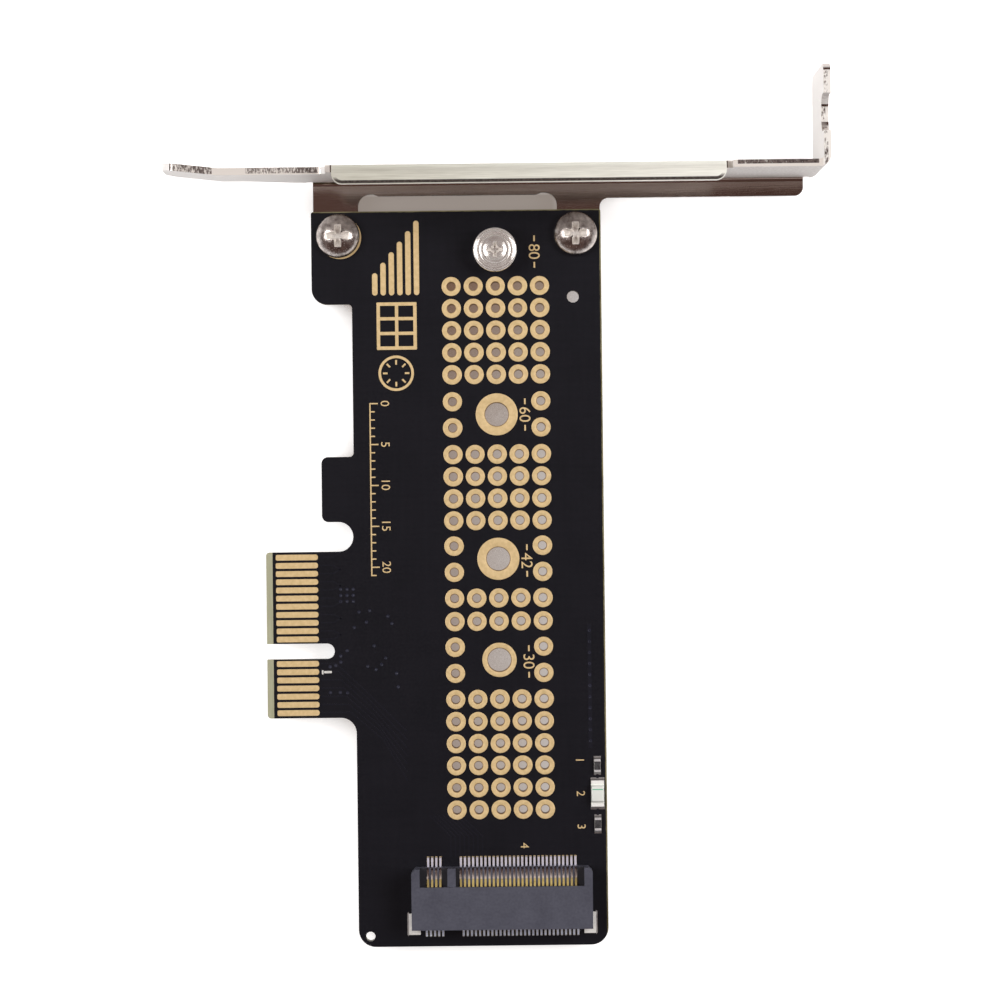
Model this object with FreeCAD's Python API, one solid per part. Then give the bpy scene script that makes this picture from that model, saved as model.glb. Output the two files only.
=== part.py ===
import FreeCAD, Part
import math
import os

# PCI Express x1 card that carries one M.2 module, with its low-profile bracket.
#
# Millimetres. The origin is on the component face, on the key notch's centreline at the tips of the
# edge fingers. X runs from the finger tips into the card, Y from the key notch towards the bracket,
# and Z out of the component face. The circuit board fills z = -board_thickness to 0.

Vector = FreeCAD.Vector

# Circuit board outline
board_thickness = 1.6
card_depth = 41.35            # finger tips to the edge away from the fingers
module_end_margin = 4.97      # end of the longest module to the edge beside the bracket
socket_end_margin = 2.35      # socket's rear face to the edge beside it
body_front = 10.85            # finger tips to the front edge of the board's body
bracket_lobe_front = 5.95
bracket_lobe_length = 11.33
hook_lobe_front = 6.91
hook_lobe_top = 23.73
hook_lobe_bottom = 15.78
socket_corner_radius = 2.1
outer_corner_radius = 0.3
bracket_lobe_radius = 1.9
hook_lobe_radius = 0.8
body_fillet = 0.5
tongue_fillet = 1.9

# Edge connector
long_tongue_side = 12.15
short_tongue_side = 8.15
tongue_corner_radius = 0.4
key_width = 1.9
key_depth = 8.28
retention_notch_depth = 10.70
bevel_length = 0.8
bevel_depth = 0.35
finger_pitch = 1.0
finger_width = 0.7
finger_start = 1.2
finger_length = 5.15
finger_end_chamfer = 0.2
first_finger = 1.5            # key notch's centre to the finger beside it, either side
long_side_fingers = 11
short_side_fingers = 7
plating = 0.05                # thickness of the gold-plated copper

# Module bay: every length is measured from the module's connector tip
module_setback = 12.95        # card's edge to the module's centreline
module_tip = -31.28
module_places = (30.0, 42.35, 60.0)
fitted_place = 80.0
module_seat = 2.45            # module's lower face above the board
module_thickness = 0.8
fixing_hole = 2.9
fixing_pad_small = 4.2
fixing_pad_large = 5.15

# Vent holes under the module
vent_hole = 1.05
vent_sides = 6
vent_pitch = 2.70
vent_pitch_second = 2.83      # between the rows of the second group
vent_column_count = 5
vent_start = 11.70            # module's tip to the first row
vent_starts_after = (4.73, 4.69, 4.89)    # each open fixing hole to the row after it
vent_end_margin = 4.2         # least distance from a row to the fixing hole after it
side_vent_half_pitch = 1.6    # the pair of vents beside a fixing hole, in the outer columns

# Tooling holes
small_tooling_hole = 1.15
small_tooling_inset = 1.43    # body's front edge to the hole's centre
small_tooling_setback = 1.29  # the edge beside the socket to the hole's centre
large_tooling_hole = 1.45
large_tooling_inset = 3.48    # card's edge to the hole's centre
large_tooling_setback = 10.68  # the edge beside the bracket to the hole's centre
small_hole_sides = 12         # tooling holes, pegs, pads, stud and the holes that screws pass through

# Bracket, one folded sheet
sheet = 0.86
bend_radius = 0.5             # inside of every bend
bracket_width = 18.42
plate_gap = 3.71              # board edge to the plate's inner face
tab_face = 68.4               # finger tips to the tab's outer face
tab_length = 11.43            # from the plate's outer face
tab_corner_radius = 1.5
screw_slot_width = 4.42
screw_slot_depth = 4.1
screw_slot_centre = 5.6       # from the plate's outer face
bracket_tip = -11.4
tongue_width = 10.19
tongue_bend = -4.65
tongue_angle = 6.5
tongue_tip_radius = 2.2
far_shoulder_bottom = -1.8
shoulder_radius = 1.2
flange_end = 66.24
flange_reach = 3.1            # from the plate's outer face
flange_corner_radius = 1.0
ear_reach = 10.5              # from the plate's outer face
front_ear_before = 3.08       # screw's centre to the ear's sides
front_ear_after = 2.42
rear_ear_before = 2.22
rear_ear_after = 3.04
ear_corner_radius = 1.5
ear_fillet = 1.1
ear_gap_reach = 2.6           # from the plate's outer face
gap_relief_rise = 0.25        # how far the gap's ends reach past its middle, towards the plate
gap_relief_radius = 1.55
gap_relief_width = 1.9        # ear's side to the end of the raised part
gap_relief_slope = 0.6        # length of the step back to the gap's middle
lip_start = 9.1
lip_end = 56.0
lip_reach = 2.4               # from the plate's outer face
lip_corner_radius = 1.3
bend_relief = 0.8

# Bracket screws, M3
front_screw_inset = 3.31      # bracket lobe's front edge to the front screw
rear_screw_inset = 3.09       # card's edge to the rear screw
bracket_screw_setback = 3.0   # the edge beside the bracket to both screws
bracket_screw_thread = 3.0
bracket_screw_length = 4.0
bracket_head = 5.3
bracket_head_height = 2.0
bracket_head_rim = 0.9        # height of the head's straight side
bracket_head_flat = 3.4       # diameter of its flat top
bracket_screw_hole = 3.3
bracket_pad = 5.7
bracket_recess = 2.9
bracket_recess_depth = 1.1

# Module screw and its standoff
module_thread = 2.0
module_screw_length = 3.0
module_head = 5.28
module_flange_height = 0.5
module_boss = 3.4
module_boss_height = 0.25
module_recess = 2.2
module_recess_depth = 0.6
standoff_flats = 4.5
standoff_stud = 2.5
nut_flats = 4.8
nut_height = 1.9
stud_past_nut = 0.2

thread_clearance = 0.05       # radial, between a thread and its mating hole
thread_runout = 0.15          # drilled depth past the screw's end
blade_width = 0.55            # arm of a cross recess
recess_bottom_share = 0.4     # recess's width at its bottom as a share of its width at the top

# Module socket, key M
first_pin = 1
last_pin = 75
contact_row_margin = 1.75     # the outermost contacts' centres to the socket's ends
socket_end_wall = 1.0         # between each end of the card slot and the socket's end
socket_height = 4.2
socket_depth = 7.4
mouth_from_tip = 4.83         # module's tip to the socket's mouth
roof_setback = 2.2            # mouth to the roof's front edge
slot_clearance = 0.15         # below and above the module
tip_clearance = 0.1
mouth_chamfer = 0.5
key_rib = 1.0
key_offset = 6.125            # socket's centre to its key, away from the rear edge
contact_pitch = 0.5
contact_width = 0.22
contact_metal = 0.15
contact_clearance = 0.03      # each side of a contact in its channel
front_tail = 1.08
rear_tail = 1.06
front_back_wall = 1.65        # rear face to the back of the front channels
rear_channel = 0.55           # rear face to the front of the rear channels
roof_skin = 0.35
channel_lap = 0.01            # how far the channels open into the card slot
contact_preload = 0.05        # a free contact's centreline past the module's face
front_press = 2.3             # mouth to the point where a front contact meets the module
front_tip = 0.3               # mouth to the free end of a front contact
front_tip_drop = 1.0          # slot's floor to that free end
rear_bend = 1.9               # roof's edge to the bend of a rear contact
rear_press = 0.3              # roof's edge to its free end, where it meets the module
peg_small = 1.1
peg_large = 1.6
peg_inset = 1.0               # socket's end to the peg's centre
peg_length = 1.3
peg_clearance = 0.05
hold_down_metal = 0.2
hold_down_side = 0.45         # how far the foot stands out beside the housing
hold_down_rear = 0.9          # and behind it
hold_down_forward = 1.7       # length of the foot along the side
hold_down_inward = 1.0        # length of the foot along the rear
hold_down_height = 1.8

# Surface-mount parts
small_part_setback = 1.15     # card's edge to the column of small parts
resistor_length = 1.6
resistor_width = 0.8
resistor_height = 0.45
resistor_terminal = 0.3
resistor_places = (-14.32, -21.46)
led_length = 3.2
led_width = 1.6
led_base_height = 0.4
led_lens_length = 2.1
led_lens_height = 0.6
led_lens_taper = 0.12
led_terminal = 0.4
led_place = -17.73
capacitor_length = 2.0
capacitor_width = 1.25
capacitor_height = 0.8
capacitor_terminal = 0.4
capacitor_pitch = 4.0
capacitor_count = 4
capacitor_row = 7.5           # module's tip to the row of capacitors
solder_reach = 0.35
solder_climb = 0.8            # share of a chip's height that its solder climbs
solder_hollow = 0.4           # share of that climb left a third of the way out

past = 1.0                    # how far a cutter runs beyond what it cuts

# Places that follow from the sizes above
solder_face = -board_thickness
module_axis = card_depth - module_setback
small_part_column = card_depth - small_part_setback
fitted_y = module_tip + fitted_place
mouth = module_tip + mouth_from_tip
roof_edge = mouth - roof_setback
socket_rear = mouth - socket_depth
board_top = fitted_y + module_end_margin
board_end = socket_rear - socket_end_margin
plate_inner = board_top + plate_gap
plate_outer = plate_inner + sheet
bracket_low = solder_face - sheet
bracket_high = bracket_low + bracket_width
outer_bend = bend_radius + sheet
screw_row = board_top - bracket_screw_setback
front_screw = bracket_lobe_front + front_screw_inset
rear_screw = card_depth - rear_screw_inset
screw_places = ((front_screw, screw_row), (rear_screw, screw_row))
front_ear = (front_screw - front_ear_before, front_screw + front_ear_after)
rear_ear = (rear_screw - rear_ear_before, rear_screw + rear_ear_after)
lip_relief = lip_start - bend_relief
slot_floor = module_seat - slot_clearance
slot_roof = module_seat + module_thickness + slot_clearance
socket_half = (last_pin - first_pin) * contact_pitch / 4 + contact_row_margin
socket_left = module_axis - socket_half
socket_right = module_axis + socket_half


def plane_point(normal, u, v, level):
    """The point (u, v) of a plane square to the X, Y or Z axis, at that level along the axis."""
    if normal == "x":
        return Vector(level, u, v)
    if normal == "y":
        return Vector(u, level, v)
    return Vector(u, v, level)


def corner_arc(before, corner, after, radius):
    """Start, middle and end of the arc that rounds a corner, as 2D points."""
    to_before = ((before[0] - corner[0]), (before[1] - corner[1]))
    to_after = ((after[0] - corner[0]), (after[1] - corner[1]))
    a = math.hypot(*to_before)
    b = math.hypot(*to_after)
    to_before = (to_before[0] / a, to_before[1] / a)
    to_after = (to_after[0] / b, to_after[1] / b)
    half = math.acos(to_before[0] * to_after[0] + to_before[1] * to_after[1]) / 2
    trim = radius / math.tan(half)
    middle = (to_before[0] + to_after[0], to_before[1] + to_after[1])
    size = math.hypot(*middle)
    reach = radius / math.sin(half) - radius
    start = (corner[0] + trim * to_before[0], corner[1] + trim * to_before[1])
    end = (corner[0] + trim * to_after[0], corner[1] + trim * to_after[1])
    bow = (corner[0] + reach * middle[0] / size, corner[1] + reach * middle[1] / size)
    return start, bow, end


def outline(corners, normal, level):
    """Closed wire through corners (u, v) or (u, v, radius)."""
    count = len(corners)
    stretches = []
    for i, corner in enumerate(corners):
        if len(corner) == 2 or corner[2] == 0:
            stretches.append((corner[:2],))
        else:
            stretches.append(corner_arc(corners[i - 1], corner, corners[(i + 1) % count], corner[2]))
    edges = []
    for i, stretch in enumerate(stretches):
        points = [plane_point(normal, p[0], p[1], level) for p in stretch]
        if len(points) == 3:
            edges.append(Part.Arc(*points).toShape())
        following = stretches[(i + 1) % count][0]
        following = plane_point(normal, following[0], following[1], level)
        if points[-1].distanceToPoint(following) > 1e-6:
            edges.append(Part.LineSegment(points[-1], following).toShape())
    return Part.Wire(edges)


def prism(corners, normal, start, end):
    """Solid between two levels along the normal axis, with the given outline."""
    direction = plane_point(normal, 0, 0, end - start)
    return Part.Face(outline(corners, normal, start)).extrude(direction)


def block(x0, x1, y0, y1, z0, z1):
    return Part.makeBox(x1 - x0, y1 - y0, z1 - z0, Vector(x0, y0, z0))


def rod(diameter, x, y, z0, z1):
    return Part.makeCylinder(diameter / 2, z1 - z0, Vector(x, y, z0))


def sided(flats, sides, x, y, z0, z1):
    """Upright bar with that many flats, two of them square to the X axis."""
    radius = flats / 2 / math.cos(math.pi / sides)
    turns = [math.pi * (2 * k + 1) / sides for k in range(sides)]
    return prism([(x + radius * math.cos(t), y + radius * math.sin(t)) for t in turns], "z", z0, z1)


def pad(outer, inner, x, y, z0, z1):
    """Flat ring whose inner flats touch the hole that it surrounds."""
    hole = sided(inner, small_hole_sides, x, y, z0, z1)
    return sided(outer, small_hole_sides, x, y, z0, z1).cut(hole)


def turned(profile, x, y, z):
    """Solid of revolution about a vertical axis, from a profile of (radius, height) points."""
    points = [Vector(r, 0, h) for r, h in profile]
    face = Part.Face(Part.makePolygon(points + points[:1]))
    solid = face.revolve(Vector(0, 0, 0), Vector(0, 0, 1), 360)
    solid.translate(Vector(x, y, z))
    return solid


def cross_recess(width, depth, x, y, top):
    """Cutter for a cross recess whose arms narrow towards the bottom."""
    arms = []
    for normal in ("y", "x"):
        u = x if normal == "y" else y
        v = y if normal == "y" else x
        wide = width / 2
        narrow = wide * recess_bottom_share
        profile = [
            (u - wide, top + past),
            (u - wide, top),
            (u - narrow, top - depth),
            (u + narrow, top - depth),
            (u + wide, top),
            (u + wide, top + past),
        ]
        arms.append(prism(profile, normal, v - blade_width / 2, v + blade_width / 2))
    return arms[0].fuse(arms[1])


def band(centreline, thickness):
    """Outline of a strip of even thickness that follows a centreline of 2D points."""
    left = []
    right = []
    last = len(centreline) - 1
    for i, point in enumerate(centreline):
        normals = []
        for a, b in ((i - 1, i), (i, i + 1)):
            if a >= 0 and b <= last:
                step = (centreline[b][0] - centreline[a][0], centreline[b][1] - centreline[a][1])
                size = math.hypot(*step)
                normals.append((-step[1] / size, step[0] / size))
        across = (sum(n[0] for n in normals), sum(n[1] for n in normals))
        size = math.hypot(*across)
        across = (across[0] / size, across[1] / size)
        offset = thickness / 2 / (across[0] * normals[0][0] + across[1] * normals[0][1])
        left.append((point[0] + offset * across[0], point[1] + offset * across[1]))
        right.append((point[0] - offset * across[0], point[1] - offset * across[1]))
    return left + right[::-1]


def vent_places():
    """Centres of the vent holes: as many rows as fit before each fixing hole, and pairs beside it."""
    middle = (vent_column_count - 1) / 2
    columns = [module_axis + vent_pitch * (k - middle) for k in range(vent_column_count)]
    starts = [vent_start] + [d + after for d, after in zip(module_places, vent_starts_after)]
    ends = module_places + (fitted_place,)
    pitches = (vent_pitch, vent_pitch_second, vent_pitch, vent_pitch)
    places = []
    for start, end, pitch in zip(starts, ends, pitches):
        rows = int((end - vent_end_margin - start) / pitch) + 1
        places += [(x, module_tip + start + pitch * row) for row in range(rows) for x in columns]
    for distance in module_places:
        for side in (-side_vent_half_pitch, side_vent_half_pitch):
            places += [(x, module_tip + distance + side) for x in (columns[0], columns[-1])]
    return places


def peg_places():
    """Diameter, x and y of the two pegs that locate the socket on the board."""
    y = (mouth + socket_rear) / 2
    return ((peg_large, socket_left + peg_inset, y), (peg_small, socket_right - peg_inset, y))


def build_board():
    half_key = key_width / 2
    notch_radius = (hook_lobe_bottom - long_tongue_side) / 2
    board = prism(
        [
            (body_front, board_end, socket_corner_radius),
            (card_depth, board_end, socket_corner_radius),
            (card_depth, board_top, outer_corner_radius),
            (bracket_lobe_front, board_top, outer_corner_radius),
            (bracket_lobe_front, board_top - bracket_lobe_length, bracket_lobe_radius),
            (body_front, board_top - bracket_lobe_length, body_fillet),
            (body_front, hook_lobe_top, body_fillet),
            (hook_lobe_front, hook_lobe_top, hook_lobe_radius),
            (hook_lobe_front, hook_lobe_bottom, hook_lobe_radius),
            (retention_notch_depth, hook_lobe_bottom, notch_radius),
            (retention_notch_depth, long_tongue_side, notch_radius),
            (0, long_tongue_side, tongue_corner_radius),
            (0, half_key),
            (key_depth, half_key, half_key),
            (key_depth, -half_key, half_key),
            (0, -half_key),
            (0, -short_tongue_side, tongue_corner_radius),
            (body_front, -short_tongue_side, tongue_fillet),
        ],
        "z",
        solder_face,
        0,
    )
    slope = bevel_depth / bevel_length
    for face, inward in ((0, -1), (solder_face, 1)):
        wedge = [
            (bevel_length, face),
            (-past, face + inward * slope * (bevel_length + past)),
            (-past, face - inward * past),
            (bevel_length, face - inward * past),
        ]
        board = board.cut(prism(wedge, "y", -short_tongue_side - past, long_tongue_side + past))

    low = solder_face - past
    places = module_places + (fitted_place,)
    cutters = [rod(fixing_hole, module_axis, module_tip + d, low, past) for d in places]
    cutters += [sided(vent_hole, vent_sides, x, y, low, past) for x, y in vent_places()]
    drills = [(bracket_screw_hole, x, y) for x, y in screw_places]
    drills += [(d + 2 * peg_clearance, x, y) for d, x, y in peg_places()]
    drills += [
        (small_tooling_hole, body_front + small_tooling_inset, board_end + small_tooling_setback),
        (large_tooling_hole, card_depth - large_tooling_inset, board_top - large_tooling_setback),
    ]
    cutters += [sided(d, small_hole_sides, x, y, low, past) for d, x, y in drills]
    return board.cut(Part.makeCompound(cutters))


def build_fingers(low):
    """Edge fingers whose lower face is at that height."""
    rows = [first_finger + finger_pitch * k for k in range(long_side_fingers)]
    rows += [-first_finger - finger_pitch * k for k in range(short_side_fingers)]
    half = finger_width / 2
    end = finger_start + finger_length
    fingers = []
    for y in rows:
        corners = [
            (finger_start, y - half),
            (end - finger_end_chamfer, y - half),
            (end, y - half + finger_end_chamfer),
            (end, y + half - finger_end_chamfer),
            (end - finger_end_chamfer, y + half),
            (finger_start, y + half),
        ]
        fingers.append(prism(corners, "z", low, low + plating))
    return fingers


def build_fixing_pads(low):
    """Rings round the module fixing holes, with the smallest at the shortest module's place."""
    sizes = (fixing_pad_small, fixing_pad_large, fixing_pad_large, fixing_pad_large)
    places = module_places + (fitted_place,)
    return [
        pad(size, fixing_hole, module_axis, module_tip + distance, low, low + plating)
        for size, distance in zip(sizes, places)
    ]


def build_screw_pads():
    return [pad(bracket_pad, bracket_screw_hole, x, y, 0, plating) for x, y in screw_places]


def flange_section(face, inward):
    """Corners of a bend and the flange past it, in the YZ plane, as far as the plate's start."""
    bend_end = face + inward * outer_bend
    reach = plate_outer - ear_reach - past
    return [
        (plate_outer, bend_end),
        (plate_outer, face, outer_bend),
        (reach, face),
        (reach, face + inward * sheet),
        (plate_inner, face + inward * sheet, bend_radius),
        (plate_inner, bend_end),
    ]


def build_bracket():
    turn = math.radians(tongue_angle)
    run = tongue_bend - bracket_tip + past
    inner_tip = (tongue_bend - run, plate_inner + run * math.tan(turn))
    outer_tip = (inner_tip[0], inner_tip[1] + sheet / math.cos(turn))
    tab_end = plate_outer + tab_length
    strip = prism(
        [
            inner_tip,
            (tongue_bend, plate_inner),
            (tab_face, plate_inner, outer_bend),
            (tab_face, tab_end),
            (tab_face - sheet, tab_end),
            (tab_face - sheet, plate_outer, bend_radius),
            (tongue_bend + sheet * math.tan(turn / 2), plate_outer),
            outer_tip,
        ],
        "z",
        bracket_low,
        bracket_high,
    )
    tongue_low = bracket_low + (bracket_width - tongue_width) / 2
    tongue_high = tongue_low + tongue_width
    blank = prism(
        [
            (bracket_tip, tongue_low, tongue_tip_radius),
            (far_shoulder_bottom, tongue_low, shoulder_radius),
            (front_ear[0], bracket_low, shoulder_radius),
            (tab_face + past, bracket_low),
            (tab_face + past, bracket_high),
            (lip_relief, bracket_high),
            (lip_relief, tongue_high, shoulder_radius),
            (bracket_tip, tongue_high, tongue_tip_radius),
        ],
        "y",
        plate_inner - past,
        tab_end + past,
    )
    plate = strip.common(blank)

    # Tab: rounded outer corners and the chassis screw's slot, open to the near side
    tab_outline = prism(
        [
            (plate_inner - past, bracket_low),
            (tab_end, bracket_low, tab_corner_radius),
            (tab_end, bracket_high, tab_corner_radius),
            (plate_inner - past, bracket_high),
        ],
        "x",
        bracket_tip - past,
        tab_face + past,
    )
    slot_y = plate_outer + screw_slot_centre
    half_slot = screw_slot_width / 2
    slot_bottom = bracket_high - screw_slot_depth
    slot = prism(
        [
            (slot_y - half_slot, bracket_high + past),
            (slot_y - half_slot, slot_bottom, half_slot),
            (slot_y + half_slot, slot_bottom, half_slot),
            (slot_y + half_slot, bracket_high + past),
        ],
        "x",
        tab_face - sheet - past,
        tab_face + past,
    )
    plate = plate.common(tab_outline).cut(slot)

    # Flange under the board, with two ears that carry the screws
    past_plate = plate_outer + past
    ear_edge = plate_outer - ear_reach
    gap_edge = plate_outer - ear_gap_reach
    relief_edge = gap_edge + gap_relief_rise
    flange_outline = prism(
        [
            (front_ear[0], past_plate),
            (front_ear[0], ear_edge, ear_corner_radius),
            (front_ear[1], ear_edge, ear_corner_radius),
            (front_ear[1], relief_edge, gap_relief_radius),
            (front_ear[1] + gap_relief_width, relief_edge),
            (front_ear[1] + gap_relief_width + gap_relief_slope, gap_edge),
            (rear_ear[0] - gap_relief_width - gap_relief_slope, gap_edge),
            (rear_ear[0] - gap_relief_width, relief_edge),
            (rear_ear[0], relief_edge, gap_relief_radius),
            (rear_ear[0], ear_edge, ear_corner_radius),
            (rear_ear[1], ear_edge, ear_corner_radius),
            (rear_ear[1], plate_outer - flange_reach, ear_fillet),
            (flange_end, plate_outer - flange_reach, flange_corner_radius),
            (flange_end, past_plate),
        ],
        "z",
        bracket_low - past,
        bracket_low + outer_bend + past,
    )
    flange = prism(flange_section(bracket_low, 1), "x", front_ear[0], flange_end).common(flange_outline)
    hole = bracket_screw_thread + 2 * thread_clearance
    for x, y in screw_places:
        flange = flange.cut(rod(hole, x, y, bracket_low - past, solder_face + past))

    # Lip along the near edge
    lip_edge = plate_outer - lip_reach
    lip_outline = prism(
        [
            (lip_start, past_plate),
            (lip_start, lip_edge, lip_corner_radius),
            (lip_end, lip_edge, lip_corner_radius),
            (lip_end, past_plate),
        ],
        "z",
        bracket_high - outer_bend - past,
        bracket_high + past,
    )
    lip = prism(flange_section(bracket_high, -1), "x", lip_start, lip_end).common(lip_outline)

    # The plate gives way to each bend, and to a relief at each end of it that is not at a shoulder
    low_window = block(
        front_ear[0] - bend_relief,
        flange_end + bend_relief,
        plate_inner - past,
        past_plate,
        bracket_low - past,
        bracket_low + outer_bend,
    )
    high_window = block(
        lip_relief,
        lip_end + bend_relief,
        plate_inner - past,
        past_plate,
        bracket_high - outer_bend,
        bracket_high + past,
    )
    plate = plate.cut(low_window).cut(high_window)
    return plate.fuse([flange, lip]).removeSplitter()


def build_bracket_screws():
    shank = bracket_screw_thread / 2
    profile = [
        (0, -bracket_screw_length),
        (shank, -bracket_screw_length),
        (shank, 0),
        (bracket_head / 2, 0),
        (bracket_head / 2, bracket_head_rim),
        (bracket_head_flat / 2, bracket_head_height),
        (0, bracket_head_height),
    ]
    top = plating + bracket_head_height
    screws = []
    for x, y in screw_places:
        recess = cross_recess(bracket_recess, bracket_recess_depth, x, y, top)
        screws.append(turned(profile, x, y, plating).cut(recess))
    return screws


def build_module_screw():
    boss_top = module_flange_height + module_boss_height
    profile = [
        (0, -module_screw_length),
        (module_thread / 2, -module_screw_length),
        (module_thread / 2, 0),
        (module_head / 2, 0),
        (module_head / 2, module_flange_height),
        (module_boss / 2, module_flange_height),
        (module_boss / 2, boss_top),
        (0, boss_top),
    ]
    seat = plating + module_seat
    screw = turned(profile, module_axis, fitted_y, seat)
    recess = cross_recess(module_recess, module_recess_depth, module_axis, fitted_y, seat + boss_top)
    return screw.cut(recess)


def build_standoff():
    """Hexagonal standoff with a stud that passes through the board to the nut."""
    body = sided(standoff_flats, 6, module_axis, fitted_y, plating, plating + module_seat)
    stud_end = solder_face - plating - nut_height - stud_past_nut
    stud = sided(standoff_stud, small_hole_sides, module_axis, fitted_y, stud_end, plating)
    body = body.fuse(stud)
    bore = module_thread + 2 * thread_clearance
    drilled = plating + module_seat - module_screw_length - thread_runout
    return body.cut(rod(bore, module_axis, fitted_y, drilled, plating + module_seat + past))


def build_nut():
    seat = solder_face - plating
    nut = sided(nut_flats, 6, module_axis, fitted_y, seat - nut_height, seat)
    hole = standoff_stud + 2 * thread_clearance
    low = seat - nut_height - past
    return nut.cut(sided(hole, small_hole_sides, module_axis, fitted_y, low, seat + past))


def pin_x(pin):
    """Centre of a contact by its pin number: odd pins in the rear row, even pins in the front row."""
    return module_axis + ((first_pin + last_pin) / 2 - pin) * contact_pitch / 2


def front_pins():
    return list(range(2, 59, 2)) + list(range(68, 75, 2))


def rear_pins():
    return list(range(1, 58, 2)) + list(range(67, 76, 2))


def build_housing():
    housing = block(socket_left, socket_right, socket_rear, mouth, 0, socket_height)
    slot_left = socket_left + socket_end_wall
    slot_right = socket_right - socket_end_wall
    back = module_tip - tip_clearance
    top = socket_height + past
    housing = housing.cut(block(slot_left, slot_right, back, mouth + past, slot_floor, slot_roof))
    housing = housing.cut(block(slot_left, slot_right, roof_edge, mouth + past, slot_floor, top))
    for x, inward in ((socket_left, 1), (socket_right, -1)):
        corner = [
            (x - inward * past, mouth + past),
            (x - inward * past, mouth - mouth_chamfer - past),
            (x, mouth - mouth_chamfer),
            (x + inward * mouth_chamfer, mouth),
            (x + inward * mouth_chamfer, mouth + past),
        ]
        housing = housing.cut(prism(corner, "z", -past, top))
    key_x = module_axis - key_offset
    rib = block(key_x - key_rib / 2, key_x + key_rib / 2, back, mouth, slot_floor, slot_roof)
    housing = housing.fuse(rib)

    half = contact_width / 2 + contact_clearance
    front_back = socket_rear + front_back_wall
    front_channel = [
        (mouth + past, -past),
        (front_back, -past),
        (front_back, slot_floor + channel_lap),
        (mouth + past, slot_floor + channel_lap),
    ]
    ceiling = socket_height - roof_skin
    rear_wall = socket_rear + rear_channel
    rear_channel_outline = [
        (socket_rear - past, -past),
        (rear_wall, -past),
        (rear_wall, slot_roof - channel_lap),
        (roof_edge + past, slot_roof - channel_lap),
        (roof_edge + past, ceiling),
        (socket_rear - past, ceiling),
    ]
    channels = [prism(front_channel, "x", pin_x(p) - half, pin_x(p) + half) for p in front_pins()]
    channels += [prism(rear_channel_outline, "x", pin_x(p) - half, pin_x(p) + half) for p in rear_pins()]
    housing = housing.cut(Part.makeCompound(channels))
    pegs = [sided(d, small_hole_sides, x, y, -peg_length, 0) for d, x, y in peg_places()]
    return housing.fuse(pegs).removeSplitter()


def build_contacts(centreline, pins):
    profile = band(centreline, contact_metal)
    half = contact_width / 2
    return [prism(profile, "x", pin_x(p) - half, pin_x(p) + half) for p in pins]


def build_front_contacts():
    """Each runs in under the module, turns back at the channel's end and presses up on the module."""
    foot = contact_metal / 2
    turn = socket_rear + front_back_wall + foot
    press = module_seat + contact_preload
    centreline = [
        (mouth + front_tail, foot),
        (turn, foot),
        (turn, slot_floor / 2),
        (mouth - front_press, press),
        (mouth - front_tip, slot_floor - front_tip_drop),
    ]
    return build_contacts(centreline, front_pins())


def build_rear_contacts():
    """Each climbs the rear wall, runs forward under the roof and presses down on the module."""
    foot = contact_metal / 2
    riser = socket_rear + rear_channel - foot
    run = socket_height - roof_skin - foot
    press = module_seat + module_thickness - contact_preload
    centreline = [
        (socket_rear - rear_tail, foot),
        (riser, foot),
        (riser, run),
        (roof_edge - rear_bend, run),
        (roof_edge - rear_press, press),
    ]
    return build_contacts(centreline, rear_pins())


def build_hold_down(side):
    """Solder foot at a rear corner of the socket, with a leaf up the rear wall: side is -1 or 1."""
    edge = module_axis + side * socket_half
    foot = prism(
        [
            (edge, socket_rear),
            (edge, socket_rear + hold_down_forward),
            (edge + side * hold_down_side, socket_rear + hold_down_forward),
            (edge + side * hold_down_side, socket_rear - hold_down_rear),
            (edge - side * hold_down_inward, socket_rear - hold_down_rear),
            (edge - side * hold_down_inward, socket_rear),
        ],
        "z",
        0,
        hold_down_metal,
    )
    ends = sorted((edge, edge - side * hold_down_inward))
    leaf = block(ends[0], ends[1], socket_rear - hold_down_metal, socket_rear, 0, hold_down_height)
    return foot.fuse(leaf).removeSplitter()


def chip_body(x, y, length, width, height, terminal, face, up):
    """Body of a two-terminal chip that lies along Y, between its terminals."""
    half = length / 2 - terminal
    z0, z1 = sorted((face, face + up * height))
    return block(x - width / 2, x + width / 2, y - half, y + half, z0, z1)


def chip_terminals(x, y, length, width, height, terminal, face, up):
    z0, z1 = sorted((face, face + up * height))
    ends = []
    for side in (-1, 1):
        y0, y1 = sorted((y + side * length / 2, y + side * (length / 2 - terminal)))
        ends.append(block(x - width / 2, x + width / 2, y0, y1, z0, z1))
    return ends


def solder_wedges(x, y, length, width, height, face, up):
    """Solder that climbs each end of a chip with a hollow slope."""
    climb = up * solder_climb * height
    wedges = []
    for side in (-1, 1):
        end = y + side * length / 2
        slope = [
            (end, face),
            (end, face + climb),
            (end + side * solder_reach / 3, face + climb * solder_hollow),
            (end + side * solder_reach, face),
        ]
        wedges.append(prism(slope, "x", x - width / 2, x + width / 2))
    return wedges


def build_led():
    base = block(
        small_part_column - led_width / 2,
        small_part_column + led_width / 2,
        led_place - led_length / 2 + led_terminal,
        led_place + led_length / 2 - led_terminal,
        0,
        led_base_height,
    )
    half = led_lens_length / 2
    lens = prism(
        [
            (led_place - half, led_base_height),
            (led_place + half, led_base_height),
            (led_place + half - led_lens_taper, led_base_height + led_lens_height),
            (led_place - half + led_lens_taper, led_base_height + led_lens_height),
        ],
        "x",
        small_part_column - led_width / 2,
        small_part_column + led_width / 2,
    )
    ends = chip_terminals(
        small_part_column, led_place, led_length, led_width, led_base_height, led_terminal, 0, 1
    )
    return base, lens, ends


def capacitor_places():
    middle = (capacitor_count - 1) / 2
    y = module_tip + capacitor_row
    return [(module_axis + capacitor_pitch * (k - middle), y) for k in range(capacitor_count)]


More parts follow.
